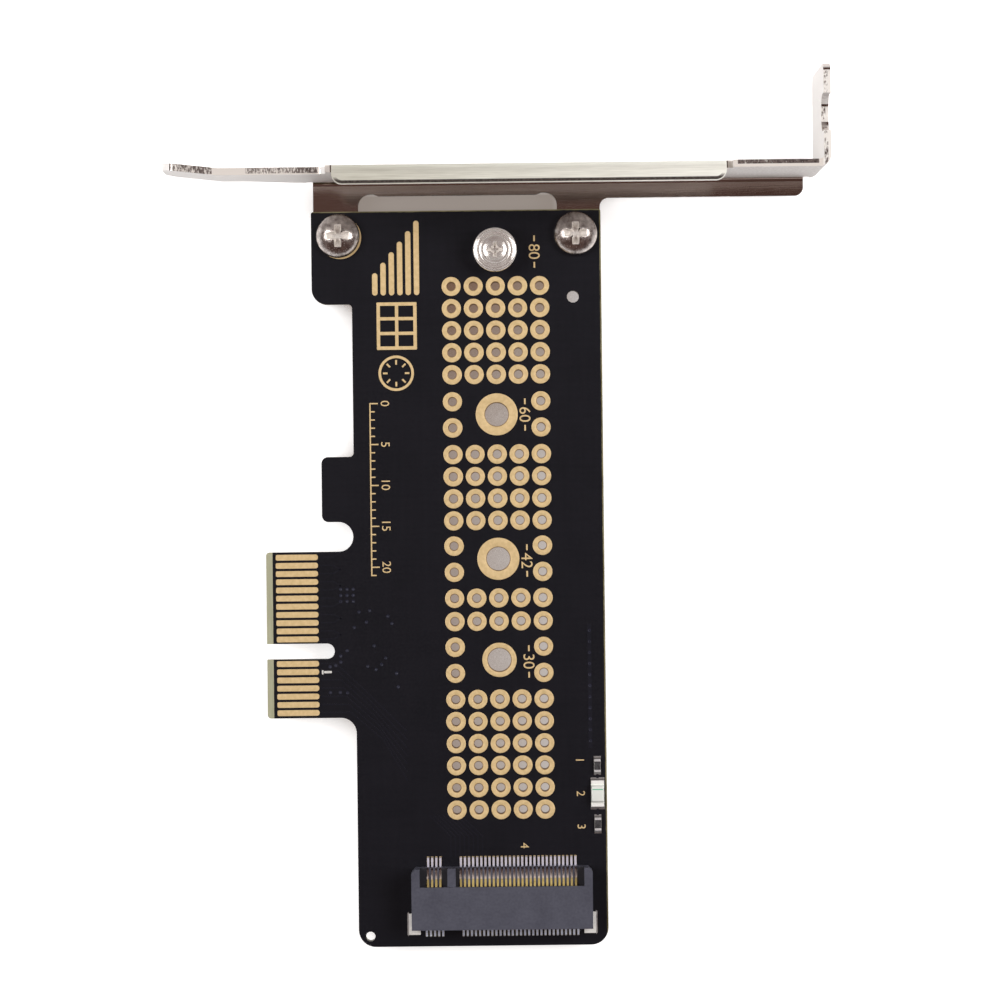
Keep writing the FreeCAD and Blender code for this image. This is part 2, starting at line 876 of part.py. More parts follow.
def build_parts():
    """Every sub-part by its node name: one solid, or a list of separate solids."""
    parts = {
        "circuit_board": build_board(),
        "edge_fingers_component_side": build_fingers(0),
        "edge_fingers_solder_side": build_fingers(solder_face - plating),
        "fixing_pads_component_side": build_fixing_pads(0),
        "fixing_pads_solder_side": build_fixing_pads(solder_face - plating),
        "bracket_screw_pads": build_screw_pads(),
        "bracket": build_bracket(),
        "bracket_screws": build_bracket_screws(),
        "module_standoff": build_standoff(),
        "module_screw": build_module_screw(),
        "standoff_nut": build_nut(),
        "socket_housing": build_housing(),
        "socket_contacts_front": build_front_contacts(),
        "socket_contacts_rear": build_rear_contacts(),
        "socket_hold_down_left": build_hold_down(-1),
        "socket_hold_down_right": build_hold_down(1),
    }
    parts["led_base"], parts["led_lens"], parts["led_terminals"] = build_led()
    resistor = (resistor_length, resistor_width, resistor_height)
    component_solder = solder_wedges(
        small_part_column, led_place, led_length, led_width, led_base_height, 0, 1
    )
    for number, y in enumerate(resistor_places, start=1):
        place = (small_part_column, y) + resistor + (resistor_terminal, 0, 1)
        parts[f"resistor_{number}_body"] = chip_body(*place)
        parts[f"resistor_{number}_terminals"] = chip_terminals(*place)
        component_solder += solder_wedges(small_part_column, y, *resistor, 0, 1)
    parts["solder_component_side"] = component_solder
    capacitor = (capacitor_length, capacitor_width, capacitor_height)
    bodies = []
    ends = []
    solder = []
    for x, y in capacitor_places():
        place = (x, y) + capacitor + (capacitor_terminal, solder_face, -1)
        bodies.append(chip_body(*place))
        ends += chip_terminals(*place)
        solder += solder_wedges(x, y, *capacitor, solder_face, -1)
    parts["capacitor_bodies"] = bodies
    parts["capacitor_terminals"] = ends
    parts["solder_solder_side"] = solder
    return parts


os.makedirs("parts", exist_ok=True)
for name, shape in build_parts().items():
    if isinstance(shape, list):
        shape = Part.makeCompound(shape)
    shape.exportStep(f"parts/{name}.step")
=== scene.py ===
import bmesh
import bpy
import functools
import math
import random
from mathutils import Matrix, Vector


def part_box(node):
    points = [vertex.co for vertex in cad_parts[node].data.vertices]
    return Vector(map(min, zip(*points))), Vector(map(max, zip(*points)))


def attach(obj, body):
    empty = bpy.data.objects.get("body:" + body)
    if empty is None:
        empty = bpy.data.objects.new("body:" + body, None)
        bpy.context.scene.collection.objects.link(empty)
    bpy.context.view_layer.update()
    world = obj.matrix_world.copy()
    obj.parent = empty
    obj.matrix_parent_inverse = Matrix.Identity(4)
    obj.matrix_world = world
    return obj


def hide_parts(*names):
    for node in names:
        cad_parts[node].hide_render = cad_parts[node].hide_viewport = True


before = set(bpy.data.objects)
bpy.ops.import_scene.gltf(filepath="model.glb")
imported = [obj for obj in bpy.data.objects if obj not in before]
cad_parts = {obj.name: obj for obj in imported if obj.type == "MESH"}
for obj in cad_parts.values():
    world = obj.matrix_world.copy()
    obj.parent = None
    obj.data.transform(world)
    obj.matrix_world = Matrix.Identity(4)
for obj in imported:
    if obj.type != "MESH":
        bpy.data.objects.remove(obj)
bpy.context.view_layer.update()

# Everything below is written in millimetres in the part's own frame and scaled once on its way in.
MM = 0.001
TAU = 2 * math.pi
rng = random.Random(7)


def node_box(name):
    low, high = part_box(name)
    return [v / MM for v in low], [v / MM for v in high]


board_low, board_high = node_box("circuit_board")
housing_low, housing_high = node_box("socket_housing")
bracket_low, bracket_high = node_box("bracket")
FACE = board_high[2]
BACK = board_low[2]
CARD_EDGE = board_high[0]
BOARD_TOP = board_high[1]
AXIS = (housing_low[0] + housing_high[0]) / 2
MOUTH = housing_high[1]
SOCKET_REAR = housing_low[1]
SOCKET_TOP = housing_high[2]
TIP = MOUTH - 4.83            # where the module's connector tip rests
OPEN_PLACES = (30.0, 42.35, 60.0)
FITTED = TIP + 80.0
SLOT_DEPTH = 2.2              # from the socket's mouth to the slot's inner wall
SHEET = 0.86
PLATE_IN = 57.40
PLATE_OUT = PLATE_IN + SHEET
TAB_IN = bracket_high[0] - SHEET
LIP_START = 9.1
LIP_END = 56.0
LIP_FRONT = PLATE_OUT - 2.4
LIP_CORNER = 1.3
COPPER = 0.035


# ---------------------------------------------------------------- materials

class Nodes:
    """A material's node tree, with a few short ways to add to it."""

    def __init__(self, name):
        self.material = bpy.data.materials.new(name)
        self.material.use_nodes = True
        self.tree = self.material.node_tree
        self.shader = self.tree.nodes["Principled BSDF"]
        self.where = self.add("ShaderNodeTexCoord").outputs["Object"]

    def add(self, kind, **settings):
        node = self.tree.nodes.new(kind)
        for key, value in settings.items():
            setattr(node, key, value)
        return node

    def link(self, a, b):
        self.tree.links.new(a, b)

    def put(self, socket, value):
        """Links an output, or sets a number or a colour."""
        if isinstance(value, bpy.types.NodeSocket):
            self.link(value, socket)
        elif isinstance(value, tuple):
            socket.default_value = (*value, 1.0)
        else:
            socket.default_value = value

    def math(self, operation, a, b=0.0, c=0.0):
        node = self.add("ShaderNodeMath", operation=operation)
        for socket, value in zip(node.inputs, (a, b, c)):
            self.put(socket, value)
        return node.outputs[0]

    def both(self, *values):
        """The product: where the values are masks, where all of them hold."""
        return functools.reduce(lambda a, b: self.math("MULTIPLY", a, b), values)

    def either(self, *values):
        """The largest: where the values are masks, where any of them holds."""
        return functools.reduce(lambda a, b: self.math("MAXIMUM", a, b), values)

    def total(self, *values):
        return functools.reduce(lambda a, b: self.math("ADD", a, b), values)

    def opposite(self, value):
        return self.math("SUBTRACT", 1.0, value)

    def above(self, value, limit_mm):
        return self.math("GREATER_THAN", value, limit_mm * MM)

    def below(self, value, limit_mm):
        return self.math("LESS_THAN", value, limit_mm * MM)

    def apart(self, value, centre_mm):
        """Distance from a plane."""
        return self.math("ABSOLUTE", self.math("SUBTRACT", value, centre_mm * MM))

    def noise(self, size_mm, detail=3.0, stretch=(1, 1, 1)):
        """Noise from 0 to 1 whose features are about that many millimetres across."""
        mapping = self.add("ShaderNodeMapping")
        mapping.inputs["Scale"].default_value = stretch
        self.link(self.where, mapping.inputs["Vector"])
        node = self.add("ShaderNodeTexNoise")
        node.inputs["Scale"].default_value = 1 / (size_mm * MM)
        node.inputs["Detail"].default_value = detail
        node.inputs["Roughness"].default_value = 0.55
        self.link(mapping.outputs["Vector"], node.inputs["Vector"])
        return node.outputs["Fac"]

    def span(self, value, low, high, to_low=0.0, to_high=1.0):
        node = self.add("ShaderNodeMapRange")
        limits = {"From Min": low, "From Max": high, "To Min": to_low, "To Max": to_high}
        for key, number in limits.items():
            node.inputs[key].default_value = number
        self.link(value, node.inputs["Value"])
        return node.outputs["Result"]

    def fade(self, value, low_mm, high_mm):
        """From 0 at one place to 1 at another."""
        return self.span(value, low_mm * MM, high_mm * MM)

    def mix(self, factor, a, b):
        node = self.add("ShaderNodeMix", data_type="RGBA")
        for index, value in ((0, factor), (6, a), (7, b)):
            self.put(node.inputs[index], value)
        return node.outputs[2]

    def place(self):
        """Object coordinates in metres as three outputs."""
        node = self.add("ShaderNodeSeparateXYZ")
        self.link(self.where, node.inputs[0])
        return node.outputs

    def normal(self):
        node = self.add("ShaderNodeSeparateXYZ")
        self.link(self.add("ShaderNodeNewGeometry").outputs["True Normal"], node.inputs[0])
        return node.outputs

    def bump(self, height, distance_mm, strength=1.0):
        node = self.add("ShaderNodeBump")
        node.inputs["Strength"].default_value = strength
        node.inputs["Distance"].default_value = distance_mm * MM
        self.link(height, node.inputs["Height"])
        self.link(node.outputs["Normal"], self.shader.inputs["Normal"])

    def set(self, **values):
        names = {
            "color": "Base Color", "metallic": "Metallic", "roughness": "Roughness",
            "specular": "Specular IOR Level", "ior": "IOR", "transmission": "Transmission Weight",
        }
        for key, value in values.items():
            self.put(self.shader.inputs[names[key]], value)


def make_mask(name="mask", lift=1.0, edges=True):
    """Satin black solder mask, with bare glass-epoxy on the cut edges and bevels."""
    n = Nodes(name)
    cloud = n.noise(6.0, 4)
    fine = n.noise(0.25, 2)
    weave = n.total(n.noise(0.55, 1, (1, 0.06, 1)), n.noise(0.55, 1, (0.06, 1, 1)))
    darker = tuple(v * lift for v in (0.0030, 0.0034, 0.0066))
    lighter = tuple(v * lift for v in (0.0050, 0.0052, 0.0092))
    colour = n.mix(n.span(cloud, 0.3, 0.7), darker, lighter)
    colour = n.mix(n.both(n.span(weave, 0.8, 1.3), 0.35), colour, (0.0075, 0.0074, 0.0120))
    if edges:
        x, y, _ = n.place()
        up = n.math("ABSOLUTE", n.normal()[2])
        wander = n.both(n.math("SUBTRACT", n.noise(0.7, 3), 0.5), 0.12 * MM)
        right = n.above(n.total(x, wander), CARD_EDGE - 0.17)
        top = n.above(n.total(y, wander), BOARD_TOP - 0.13)
        left = n.below(n.total(x, wander), 0.80)
        cut = n.math("LESS_THAN", up, 0.97)
        ply = n.noise(0.9, 2, (0.25, 0.25, 6.0))
        glass = n.mix(n.span(ply, 0.35, 0.65), (0.125, 0.110, 0.055), (0.235, 0.215, 0.120))
        bevel = n.mix(ply, (0.28, 0.28, 0.165), (0.42, 0.425, 0.285))
        glass = n.mix(n.both(cut, n.math("GREATER_THAN", up, 0.5)), glass, bevel)
        colour = n.mix(n.either(right, top, cut, left), colour, glass)
    n.set(color=colour, roughness=n.span(fine, 0.3, 0.7, 0.30, 0.40), specular=0.30)
    n.bump(n.total(fine, n.both(weave, 0.6)), 0.004, 0.35)
    return n.material


def make_gold(name, dark, light, metallic, low, high, size=0.5):
    n = Nodes(name)
    patch = n.noise(size, 4)
    grain = n.noise(0.06, 2)
    n.set(color=n.mix(n.span(patch, 0.3, 0.7), dark, light), metallic=metallic,
          roughness=n.span(grain, 0.25, 0.75, low, high))
    n.bump(grain, 0.004, 0.5)
    return n.material


def make_nickel():
    """Nickel-plated sheet: rolled grain along X, dull on the lip, torn along its sheared edges."""
    n = Nodes("nickel_sheet")
    x, y, z = n.place()
    nx, ny, nz = n.normal()
    above, below, both, either, opposite = n.above, n.below, n.both, n.either, n.opposite
    grain = n.noise(0.15, 4, (0.04, 1, 1))
    streaks = n.span(grain, 0.3, 0.7)
    cloud = n.noise(5.0, 3)
    facing_up = n.math("GREATER_THAN", nz, 0.5)
    facing_down = n.math("LESS_THAN", nz, -0.5)
    facing_card = n.math("LESS_THAN", ny, -0.5)
    facing_left = n.math("LESS_THAN", nx, -0.5)

    # Most of the sheet, with painted shade on the up-facing flange under the board, darker towards the
    # right
    plain = n.mix(n.span(cloud, 0.3, 0.7), (0.62, 0.575, 0.55), (0.665, 0.62, 0.595))
    shaded = n.mix(n.fade(x, 52, 60), (0.60, 0.505, 0.46), (0.46, 0.365, 0.32))
    plain = n.mix(both(below(z, 0), facing_up), plain, shaded)

    # The lip is dull and greenish, whiter to the right, with painted shade on its underside
    in_lip = both(above(x, LIP_START - 0.2), opposite(above(x, LIP_END + 0.2)))
    lip = both(above(z, 14.6), in_lip)
    greenish = n.mix(streaks, (0.52, 0.515, 0.445), (0.68, 0.68, 0.60))
    whiter = n.mix(streaks, (0.80, 0.81, 0.745), (0.96, 0.97, 0.90))
    lip_colour = n.mix(n.fade(x, 14, 54), greenish, whiter)
    lip_colour = n.mix(both(lip, facing_down), lip_colour, (0.30, 0.27, 0.25))

    # The inner faces carry a painted reflection of the white floor, brightest at the left end and on
    # the faces turned to the left and dimmer to the right; the smooth part of the sheared edges is
    # paler
    edge = both(n.math("GREATER_THAN", nz, 0.9), above(z, 9.0), opposite(in_lip))
    inner = either(both(facing_card, above(z, -1.2)), facing_left)
    mottled = n.span(n.noise(0.35, 3), 0.35, 0.65)
    near = n.mix(cloud, (0.90, 0.90, 0.895), (0.99, 0.99, 0.985))
    far = n.mix(mottled, (0.62, 0.605, 0.60), (0.82, 0.81, 0.80))
    pale = n.mix(n.fade(x, 8, 50), near, far)
    pale = n.mix(facing_left, pale, (0.97, 0.965, 0.955))
    burnished = n.mix(above(x, TAB_IN - 0.1), (0.74, 0.70, 0.66), (0.85, 0.83, 0.80))
    smooth = n.mix(edge, pale, burnished)
    colour = n.mix(either(edge, inner), n.mix(lip, plain, lip_colour), smooth)
    dull = either(lip, edge, inner)

    # Sheared edges are torn in short scores on the sheet's outer side
    scores = n.noise(0.16, 2, (1, 0.3, 1))
    ragged = n.noise(0.30, 3)
    patchy = n.noise(1.5, 2)
    coverage = n.total(both(scores, 0.55), both(ragged, 0.35), both(patchy, 0.35))
    past_lip = above(x, LIP_END + 1.3)
    band_right = both(past_lip, above(y, PLATE_IN + 0.36))
    band_left = both(opposite(past_lip), above(y, PLATE_IN + 0.16), below(x, LIP_START - 1.7))
    burnished_gap = both(above(x, -5.3), below(x, -1.3))
    burnished_end = both(above(x, -13.0), below(x, -10.3))
    along_plate = both(edge, either(band_right, band_left), below(x, TAB_IN - 0.6),
                       opposite(either(burnished_gap, burnished_end)))
    along_tab = both(edge, above(x, TAB_IN + 0.05), below(x, TAB_IN + 0.5))
    coverage = n.total(coverage, both(past_lip, 0.13))
    torn = either(both(along_plate, n.span(coverage, 0.53, 0.68)),
                  both(along_tab, n.span(coverage, 0.72, 0.84)))

    # The lip's own edge: a pale rim with a dark line inside it, following its round corners
    half_length = (LIP_END - LIP_START) / 2
    beyond_x = n.math("SUBTRACT", n.apart(x, LIP_START + half_length), (half_length - LIP_CORNER) * MM)
    beyond_y = n.math("SUBTRACT", (LIP_FRONT + LIP_CORNER) * MM, y)
    out_x = either(beyond_x, 0.0)
    out_y = either(beyond_y, 0.0)
    from_corner = n.math("SQRT", n.total(both(out_x, out_x), both(out_y, out_y)))
    inset = n.math("SUBTRACT", LIP_CORNER * MM, from_corner)
    line = both(n.fade(inset, 0.08, 0.12), opposite(n.fade(inset, 0.42, 0.50)), lip,
                n.fade(beyond_y, 0.4, 0.9))
    torn = either(torn, both(line, n.span(coverage, 0.28, 0.40)))
    flange_break = both(n.math("LESS_THAN", ny, -0.9), below(z, -1.58), n.span(coverage, 0.55, 0.60))
    torn = either(torn, flange_break)
    torn_colour = n.mix(n.span(ragged, 0.35, 0.65), (0.040, 0.028, 0.025), (0.17, 0.135, 0.125))
    colour = n.mix(torn, colour, torn_colour)
    colour = n.mix(both(line, 0.65), colour, (0.020, 0.017, 0.013))
    n.set(color=colour, metallic=opposite(either(both(torn, 0.7), both(dull, 0.68))),
          roughness=n.total(n.span(grain, 0.3, 0.7, 0.09, 0.14), both(dull, 0.38), both(torn, 0.25)))
    n.bump(n.total(grain, both(torn, ragged, 2.0)), 0.008, 0.28)
    return n.material


def make_metal(name, dark, light, low, high, size=0.4, bump=0.2, metallic=1.0):
    n = Nodes(name)
    patch = n.noise(size, 4)
    n.set(color=n.mix(n.span(patch, 0.25, 0.75), dark, light), metallic=metallic,
          roughness=n.span(n.noise(size / 3, 2), 0.3, 0.7, low, high))
    n.bump(patch, 0.01, bump)
    return n.material


def make_plastic(name, dark, light, low, high, size=0.3, bump=0.3, specular=0.5):
    n = Nodes(name)
    grain = n.noise(size, 3)
    tone = n.total(n.both(n.noise(size * 8, 3), 0.6), n.both(grain, 0.4))
    n.set(color=n.mix(n.span(tone, 0.35, 0.65), dark, light),
          roughness=n.span(grain, 0.3, 0.7, low, high), specular=specular)
    n.bump(grain, 0.008, bump)
    return n.material


def make_contact():
    """Bright tin on the tails, gold where a contact meets the module, bare copper alloy between."""
    n = Nodes("contact")
    y = n.place()[1]
    tint = n.noise(0.5, 2)
    tail = n.mix(tint, (0.52, 0.50, 0.60), (0.70, 0.69, 0.81))
    # The rear tails are painted brighter and bluer than the front ones, as painted light against the
    # shade they lie in
    rear_tail_painted_light = n.mix(tint, (0.66, 0.74, 1.0), (0.86, 0.92, 1.0))
    flash = n.mix(tint, (0.50, 0.36, 0.108), (0.65, 0.52, 0.215))
    alloy = n.mix(tint, (0.82, 0.69, 0.62), (0.98, 0.86, 0.79))
    at_rear = n.below(y, SOCKET_REAR + 0.1)
    outside = n.either(n.fade(y, MOUTH - 0.28, MOUTH - 0.22), at_rear)
    inside_colour = n.mix(n.fade(y, MOUTH - 1.42, MOUTH - 1.22), flash, alloy)
    n.set(color=n.mix(outside, inside_colour, n.mix(at_rear, tail, rear_tail_painted_light)), metallic=0.22,
          roughness=n.span(tint, 0.3, 0.7, 0.26, 0.40))
    n.bump(tint, 0.004, 0.3)
    return n.material


def make_polymer():
    """Dark grey moulding, with painted shade on the upward faces deep in the pockets beside the
    contacts.
    """
    n = Nodes("socket_polymer")
    x, y, z = n.place()
    grain = n.noise(0.3, 3)
    tone = n.span(n.total(n.both(n.noise(2.4, 3), 0.6), n.both(grain, 0.4)), 0.35, 0.65)
    colour = n.mix(tone, (0.050, 0.0525, 0.077), (0.072, 0.076, 0.106))
    ends = n.either(n.below(x, 19.25), n.above(x, 37.55))
    key = n.math("LESS_THAN", n.apart(x, 22.15), 1.1 * MM)
    # Painted shade on the upward faces deep in the pockets
    pocket_painted_shade = n.both(n.above(y, MOUTH - SLOT_DEPTH - 0.15), n.below(z, 3.3),
                    n.math("GREATER_THAN", n.normal()[2], 0.5), n.either(ends, key))
    n.set(color=n.mix(pocket_painted_shade, colour, (0.010, 0.010, 0.016)),
          roughness=n.span(grain, 0.3, 0.7, 0.42, 0.58))
    n.bump(grain, 0.008, 0.3)
    return n.material


def make_lens():
    n = Nodes("led_resin")
    haze = n.noise(0.4, 2)
    n.set(color=n.mix(haze, (0.88, 0.95, 0.90), (0.96, 0.98, 0.95)), transmission=0.18,
          roughness=n.span(haze, 0.3, 0.7, 0.12, 0.24), ior=1.5)
    return n.material


mask = make_mask()
mask_plain = make_mask("mask_over_copper", 1.7, False)
mask_via = make_mask("mask_over_vias", 5.0, False)
gold = make_gold("pad_gold", (0.635, 0.47, 0.232), (0.765, 0.58, 0.312), 0.22, 0.42, 0.56)
# The plated hole walls are painted darker and browner than the pads: painted shade inside the holes
wall = make_gold("plated_wall_painted_shade", (0.26, 0.165, 0.085), (0.38, 0.25, 0.135), 0.35, 0.40, 0.55)
nickel = make_nickel()
plastic = make_polymer()
contact = make_contact()
resin = make_lens()

# Metals: name, dark and light colour, lowest and highest roughness, size, bump, metallic
bright = make_metal("screw_nickel", (0.68, 0.63, 0.60), (0.82, 0.78, 0.75), 0.10, 0.20, 0.6, 0.1)
# The screw recesses get a lighter, duller nickel: a painted highlight
recess_painted_highlight = make_metal("recess_nickel_painted_highlight", (0.74, 0.70, 0.66), (0.96, 0.93, 0.90), 0.24, 0.40, 0.3, 0.3, 0.45)
domed = make_metal("dome_nickel", (0.26, 0.22, 0.21), (0.84, 0.78, 0.74), 0.15, 0.28, 0.6, 0.6)
satin = make_metal("wafer_nickel", (0.80, 0.76, 0.73), (1.0, 0.98, 0.95), 0.17, 0.25, 0.9, 0.0, 0.74)
tin = make_metal("tin", (0.70, 0.70, 0.72), (0.90, 0.90, 0.92), 0.28, 0.42, 0.2, 0.4, 0.6)
solder = make_metal("solder", (0.46, 0.46, 0.47), (0.68, 0.68, 0.68), 0.30, 0.46, 0.25, 0.4)

# Plastics, ceramics and ink: name, dark and light colour, lowest and highest roughness
foot_tin = make_plastic("foot_tin", (0.80, 0.80, 0.78), (0.94, 0.94, 0.92), 0.25, 0.40, 0.2, 0.4, 0.9)
led_white = make_plastic("led_base_white", (0.80, 0.83, 0.78), (0.92, 0.94, 0.90), 0.4, 0.55)
green = make_plastic("green_mark", (0.10, 0.42, 0.26), (0.18, 0.55, 0.36), 0.4, 0.5)
glaze_black = make_plastic("resistor_black", (0.034, 0.034, 0.038), (0.075, 0.075, 0.080), 0.24, 0.36)
ceramic_white = make_plastic("ceramic_white", (0.66, 0.65, 0.62), (0.80, 0.79, 0.76), 0.45, 0.6)
ceramic_tan = make_plastic("ceramic_tan", (0.27, 0.165, 0.085), (0.36, 0.235, 0.135), 0.38, 0.52)
ink = make_plastic("white_ink", (0.55, 0.55, 0.53), (0.74, 0.74, 0.72), 0.55, 0.7)


# ---------------------------------------------------------------- geometry

def between(count, loops, closed=False):
    """Faces between neighbouring loops of that many points; closed joins the last to the first."""
    faces = []
    for loop in range(loops if closed else loops - 1):
        a = count * loop
        b = count * ((loop + 1) % loops)
        for i in range(count):
            j = (i + 1) % count
            faces.append((a + i, a + j, b + j, b + i))
    return faces


def circle(x, y, r, steps=64):
    angles = [TAU * k / steps for k in range(steps)]
    return [(x + r * math.cos(a), y + r * math.sin(a)) for a in angles]


class Shape:
    """Vertices and faces gathered in millimetres, turned into one object by done()."""

    def __init__(self):
        self.points = []
        self.faces = []

    def add(self, points, faces):
        start = len(self.points)
        self.points += [tuple(p) for p in points]
        self.faces += [tuple(start + i for i in face) for face in faces]

    def prism(self, corners, z0, z1, axis="z"):
        """A flat outline, anticlockwise, between two levels along an axis."""
        count = len(corners)
        points = []
        for level in (z0, z1):
            for u, v in corners:
                points.append((u, v, level) if axis == "z" else (level, u, v))
        faces = [tuple(range(count - 1, -1, -1)), tuple(range(count, 2 * count))]
        self.add(points, faces + between(count, 2))

    def box(self, x0, x1, y0, y1, z0, z1):
        self.prism([(x0, y0), (x1, y0), (x1, y1), (x0, y1)], z0, z1)

    def turn(self, profile, x, y, z=0.0, steps=48, start=0.0):
        """A closed loop of (radius, height) points turned about an upright axis."""
        count = len(profile)
        points = []
        for k in range(steps):
            a = start + TAU * k / steps
            for r, h in profile:
                points.append((x + r * math.cos(a), y + r * math.sin(a), z + h))
        faces = []
        for k in range(steps):
            k1 = (k + 1) % steps
            for i in range(count):
                j = (i + 1) % count
                if profile[i][0] == 0 and profile[j][0] == 0:
                    continue
                quad = [k * count + i, k1 * count + i, k1 * count + j, k * count + j]
                if profile[i][0] == 0:
                    quad = [k * count + i, k1 * count + j, k * count + j]
                elif profile[j][0] == 0:
                    quad = [k * count + i, k1 * count + i, k * count + j]
                faces.append(tuple(quad))
        self.add(points, faces)

    def mesh(self, name):
        data = bpy.data.meshes.new(name)
        data.from_pydata([(x * MM, y * MM, z * MM) for x, y, z in self.points], [], self.faces)
        data.validate()
        data.update()
        return data

    def done(self, name, material, replaces=(), angle=35):
        return finish_piece(self.mesh(name), name, material, replaces, angle)


def dress(data, material, angle):
    """Gives the whole mesh one material, smooth but for edges sharper than the angle."""
    data.materials.clear()
    data.materials.append(material)
    data.polygons.foreach_set("use_smooth", [True] * len(data.polygons))
    data.set_sharp_from_angle(angle=math.radians(angle))


def finish_piece(data, name, material, replaces=(), angle=35):
    """Makes the mesh a piece of the part, in place of the CAD nodes that it replaces."""
    data.polygons.foreach_set("material_index", [0] * len(data.polygons))
    dress(data, material, angle)
    obj = bpy.data.objects.new(name, data)
    bpy.context.scene.collection.objects.link(obj)
    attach(obj, "root")
    if replaces:
        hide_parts(*replaces)
    return obj


def evaluated_mesh(obj):
    bpy.context.view_layer.update()
    evaluated = obj.evaluated_get(bpy.context.evaluated_depsgraph_get())
    return bpy.data.meshes.new_from_object(evaluated)


def cut(data, tool):
    """The mesh less the tool's mesh."""
    a = bpy.data.objects.new("cut_a", data)
    b = bpy.data.objects.new("cut_b", tool)
    for o in (a, b):
        bpy.context.scene.collection.objects.link(o)
    modifier = a.modifiers.new("cut", "BOOLEAN")
    modifier.operation = "DIFFERENCE"
    modifier.solver = "EXACT"
    modifier.object = b
    result = evaluated_mesh(a)
    for o in (a, b):
        bpy.data.objects.remove(o)
    return result


def arc(cx, cy, r, a0, a1, steps):
    """Points of an arc, angles in degrees."""
    angles = [math.radians(a0 + (a1 - a0) * k / steps) for k in range(steps + 1)]
    return [(cx + r * math.cos(a), cy + r * math.sin(a)) for a in angles]


def rounded(x0, x1, y0, y1, r, steps=5):
    """Anticlockwise outline of a rectangle with round corners."""
    return (arc(x1 - r, y0 + r, r, -90, 0, steps) + arc(x1 - r, y1 - r, r, 0, 90, steps)
            + arc(x0 + r, y1 - r, r, 90, 180, steps) + arc(x0 + r, y0 + r, r, 180, 270, steps))


def bend_path(points, radius, steps=5):
    """The same 2D path with its inner corners rounded."""
    path = [points[0]]
    for a, b, c in zip(points, points[1:], points[2:]):
        u = Vector(a) - Vector(b)
        v = Vector(c) - Vector(b)
        half = u.angle(v) / 2
        trim = min(radius / math.tan(half), u.length * 0.45, v.length * 0.45)
        p = Vector(b) + u.normalized() * trim
        q = Vector(b) + v.normalized() * trim
        for k in range(steps + 1):
            t = k / steps
            path.append(tuple((1 - t) ** 2 * p + 2 * t * (1 - t) * Vector(b) + t ** 2 * q))
    path.append(points[-1])
    return path


def band(path, thickness):
    """Outline of a strip of even thickness along a path, with square ends."""
    left = []
    right = []
    for i, p in enumerate(path):
        a = path[max(i - 1, 0)]
        b = path[min(i + 1, len(path) - 1)]
        d = Vector((b[0] - a[0], b[1] - a[1])).normalized() * thickness / 2
        left.append((p[0] - d[1], p[1] + d[0]))
        right.append((p[0] + d[1], p[1] - d[0]))
    return right + left[::-1]


# ---------------------------------------------------------------- CAD pieces that keep their own mesh

for name, material in (("circuit_board", mask), ("bracket", nickel), ("socket_housing", plastic)):
    dress(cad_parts[name].data, material, 25)


# ---------------------------------------------------------------- plated holes and pads

VENT_PAD = 1.185
VENT_HOLE = 0.50
PLACE_HOLE = 1.42
PLACE_PADS = (2.10, 2.575, 2.575)
FITTED_PAD = 2.575


def vent_places():
    """Blocks of vents between the module places, and four beside each open place."""
    columns = [AXIS + 2.70 * k for k in (-2, -1, 0, 1, 2)]
    places = []
    for first, rows, pitch in ((11.70, 6, 2.70), (34.73, 2, 2.83), (47.04, 4, 2.70), (64.89, 5, 2.70)):
        places += [(x, TIP + first + pitch * row) for row in range(rows) for x in columns]
    for distance in OPEN_PLACES:
        for side in (-1.6, 1.6):
            places += [(x, TIP + distance + side) for x in (columns[0], columns[-1])]
    return places


def eyelet(shape, x, y, outer, hole, steps):
    """A pad on each face joined by the plated wall of the hole."""
    plating = 0.03
    soft = 0.09
    top = FACE + COPPER
    low = BACK - COPPER
    shape.turn([
        (outer, FACE), (outer - 0.02, top - 0.005), (outer - 0.06, top), (hole + soft, top),
        (hole + soft * 0.3, top - soft * 0.3), (hole, top - soft), (hole, low + soft),
        (hole + soft * 0.3, low + soft * 0.3), (hole + soft, low), (outer - 0.06, low),
        (outer - 0.02, low + 0.005), (outer, BACK), (hole + plating, BACK), (hole + plating, FACE),
    ], x, y, 0, steps)


def shade_walls(plated, centres, radius):
    """Gives the plated walls of the holes a darker, browner metal, as painted shade inside the holes.
    """
    plated.data.materials.append(wall)
    for face in plated.data.polygons:
        u, v = face.center.x / MM, face.center.y / MM
        if min(math.hypot(u - x, v - y) for x, y in centres) < radius:
            face.material_index = 1


vents = Shape()
for x, y in vent_places():
    eyelet(vents, x, y, VENT_PAD + rng.uniform(-0.02, 0.02), VENT_HOLE, 32)
plated = vents.done("vent_plating", gold, angle=50)
shade_walls(plated, vent_places(), VENT_HOLE + 0.10)

pads = Shape()
for distance, outer in zip(OPEN_PLACES, PLACE_PADS):
    eyelet(pads, AXIS, TIP + distance, outer, PLACE_HOLE, 64)
for z0, z1 in ((FACE, FACE + COPPER), (BACK, BACK - COPPER)):
    profile = [(FITTED_PAD, z0), (FITTED_PAD - 0.02, z1), (1.30, z1), (1.30, z0)]
    pads.turn(profile if z1 > z0 else profile[::-1], AXIS, FITTED, 0, 64)
plated = pads.done("fixing_pads", gold,
                   ("fixing_pads_component_side", "fixing_pads_solder_side"), 50)
shade_walls(plated, [(AXIS, TIP + distance) for distance in OPEN_PLACES], PLACE_HOLE + 0.10)

screw_low, screw_high = node_box("bracket_screws")
screw_row = (screw_low[1] + screw_high[1]) / 2
screw_places = ((screw_low[0] + 2.65, screw_row), (screw_high[0] - 2.65, screw_row))
ring_pads = Shape()
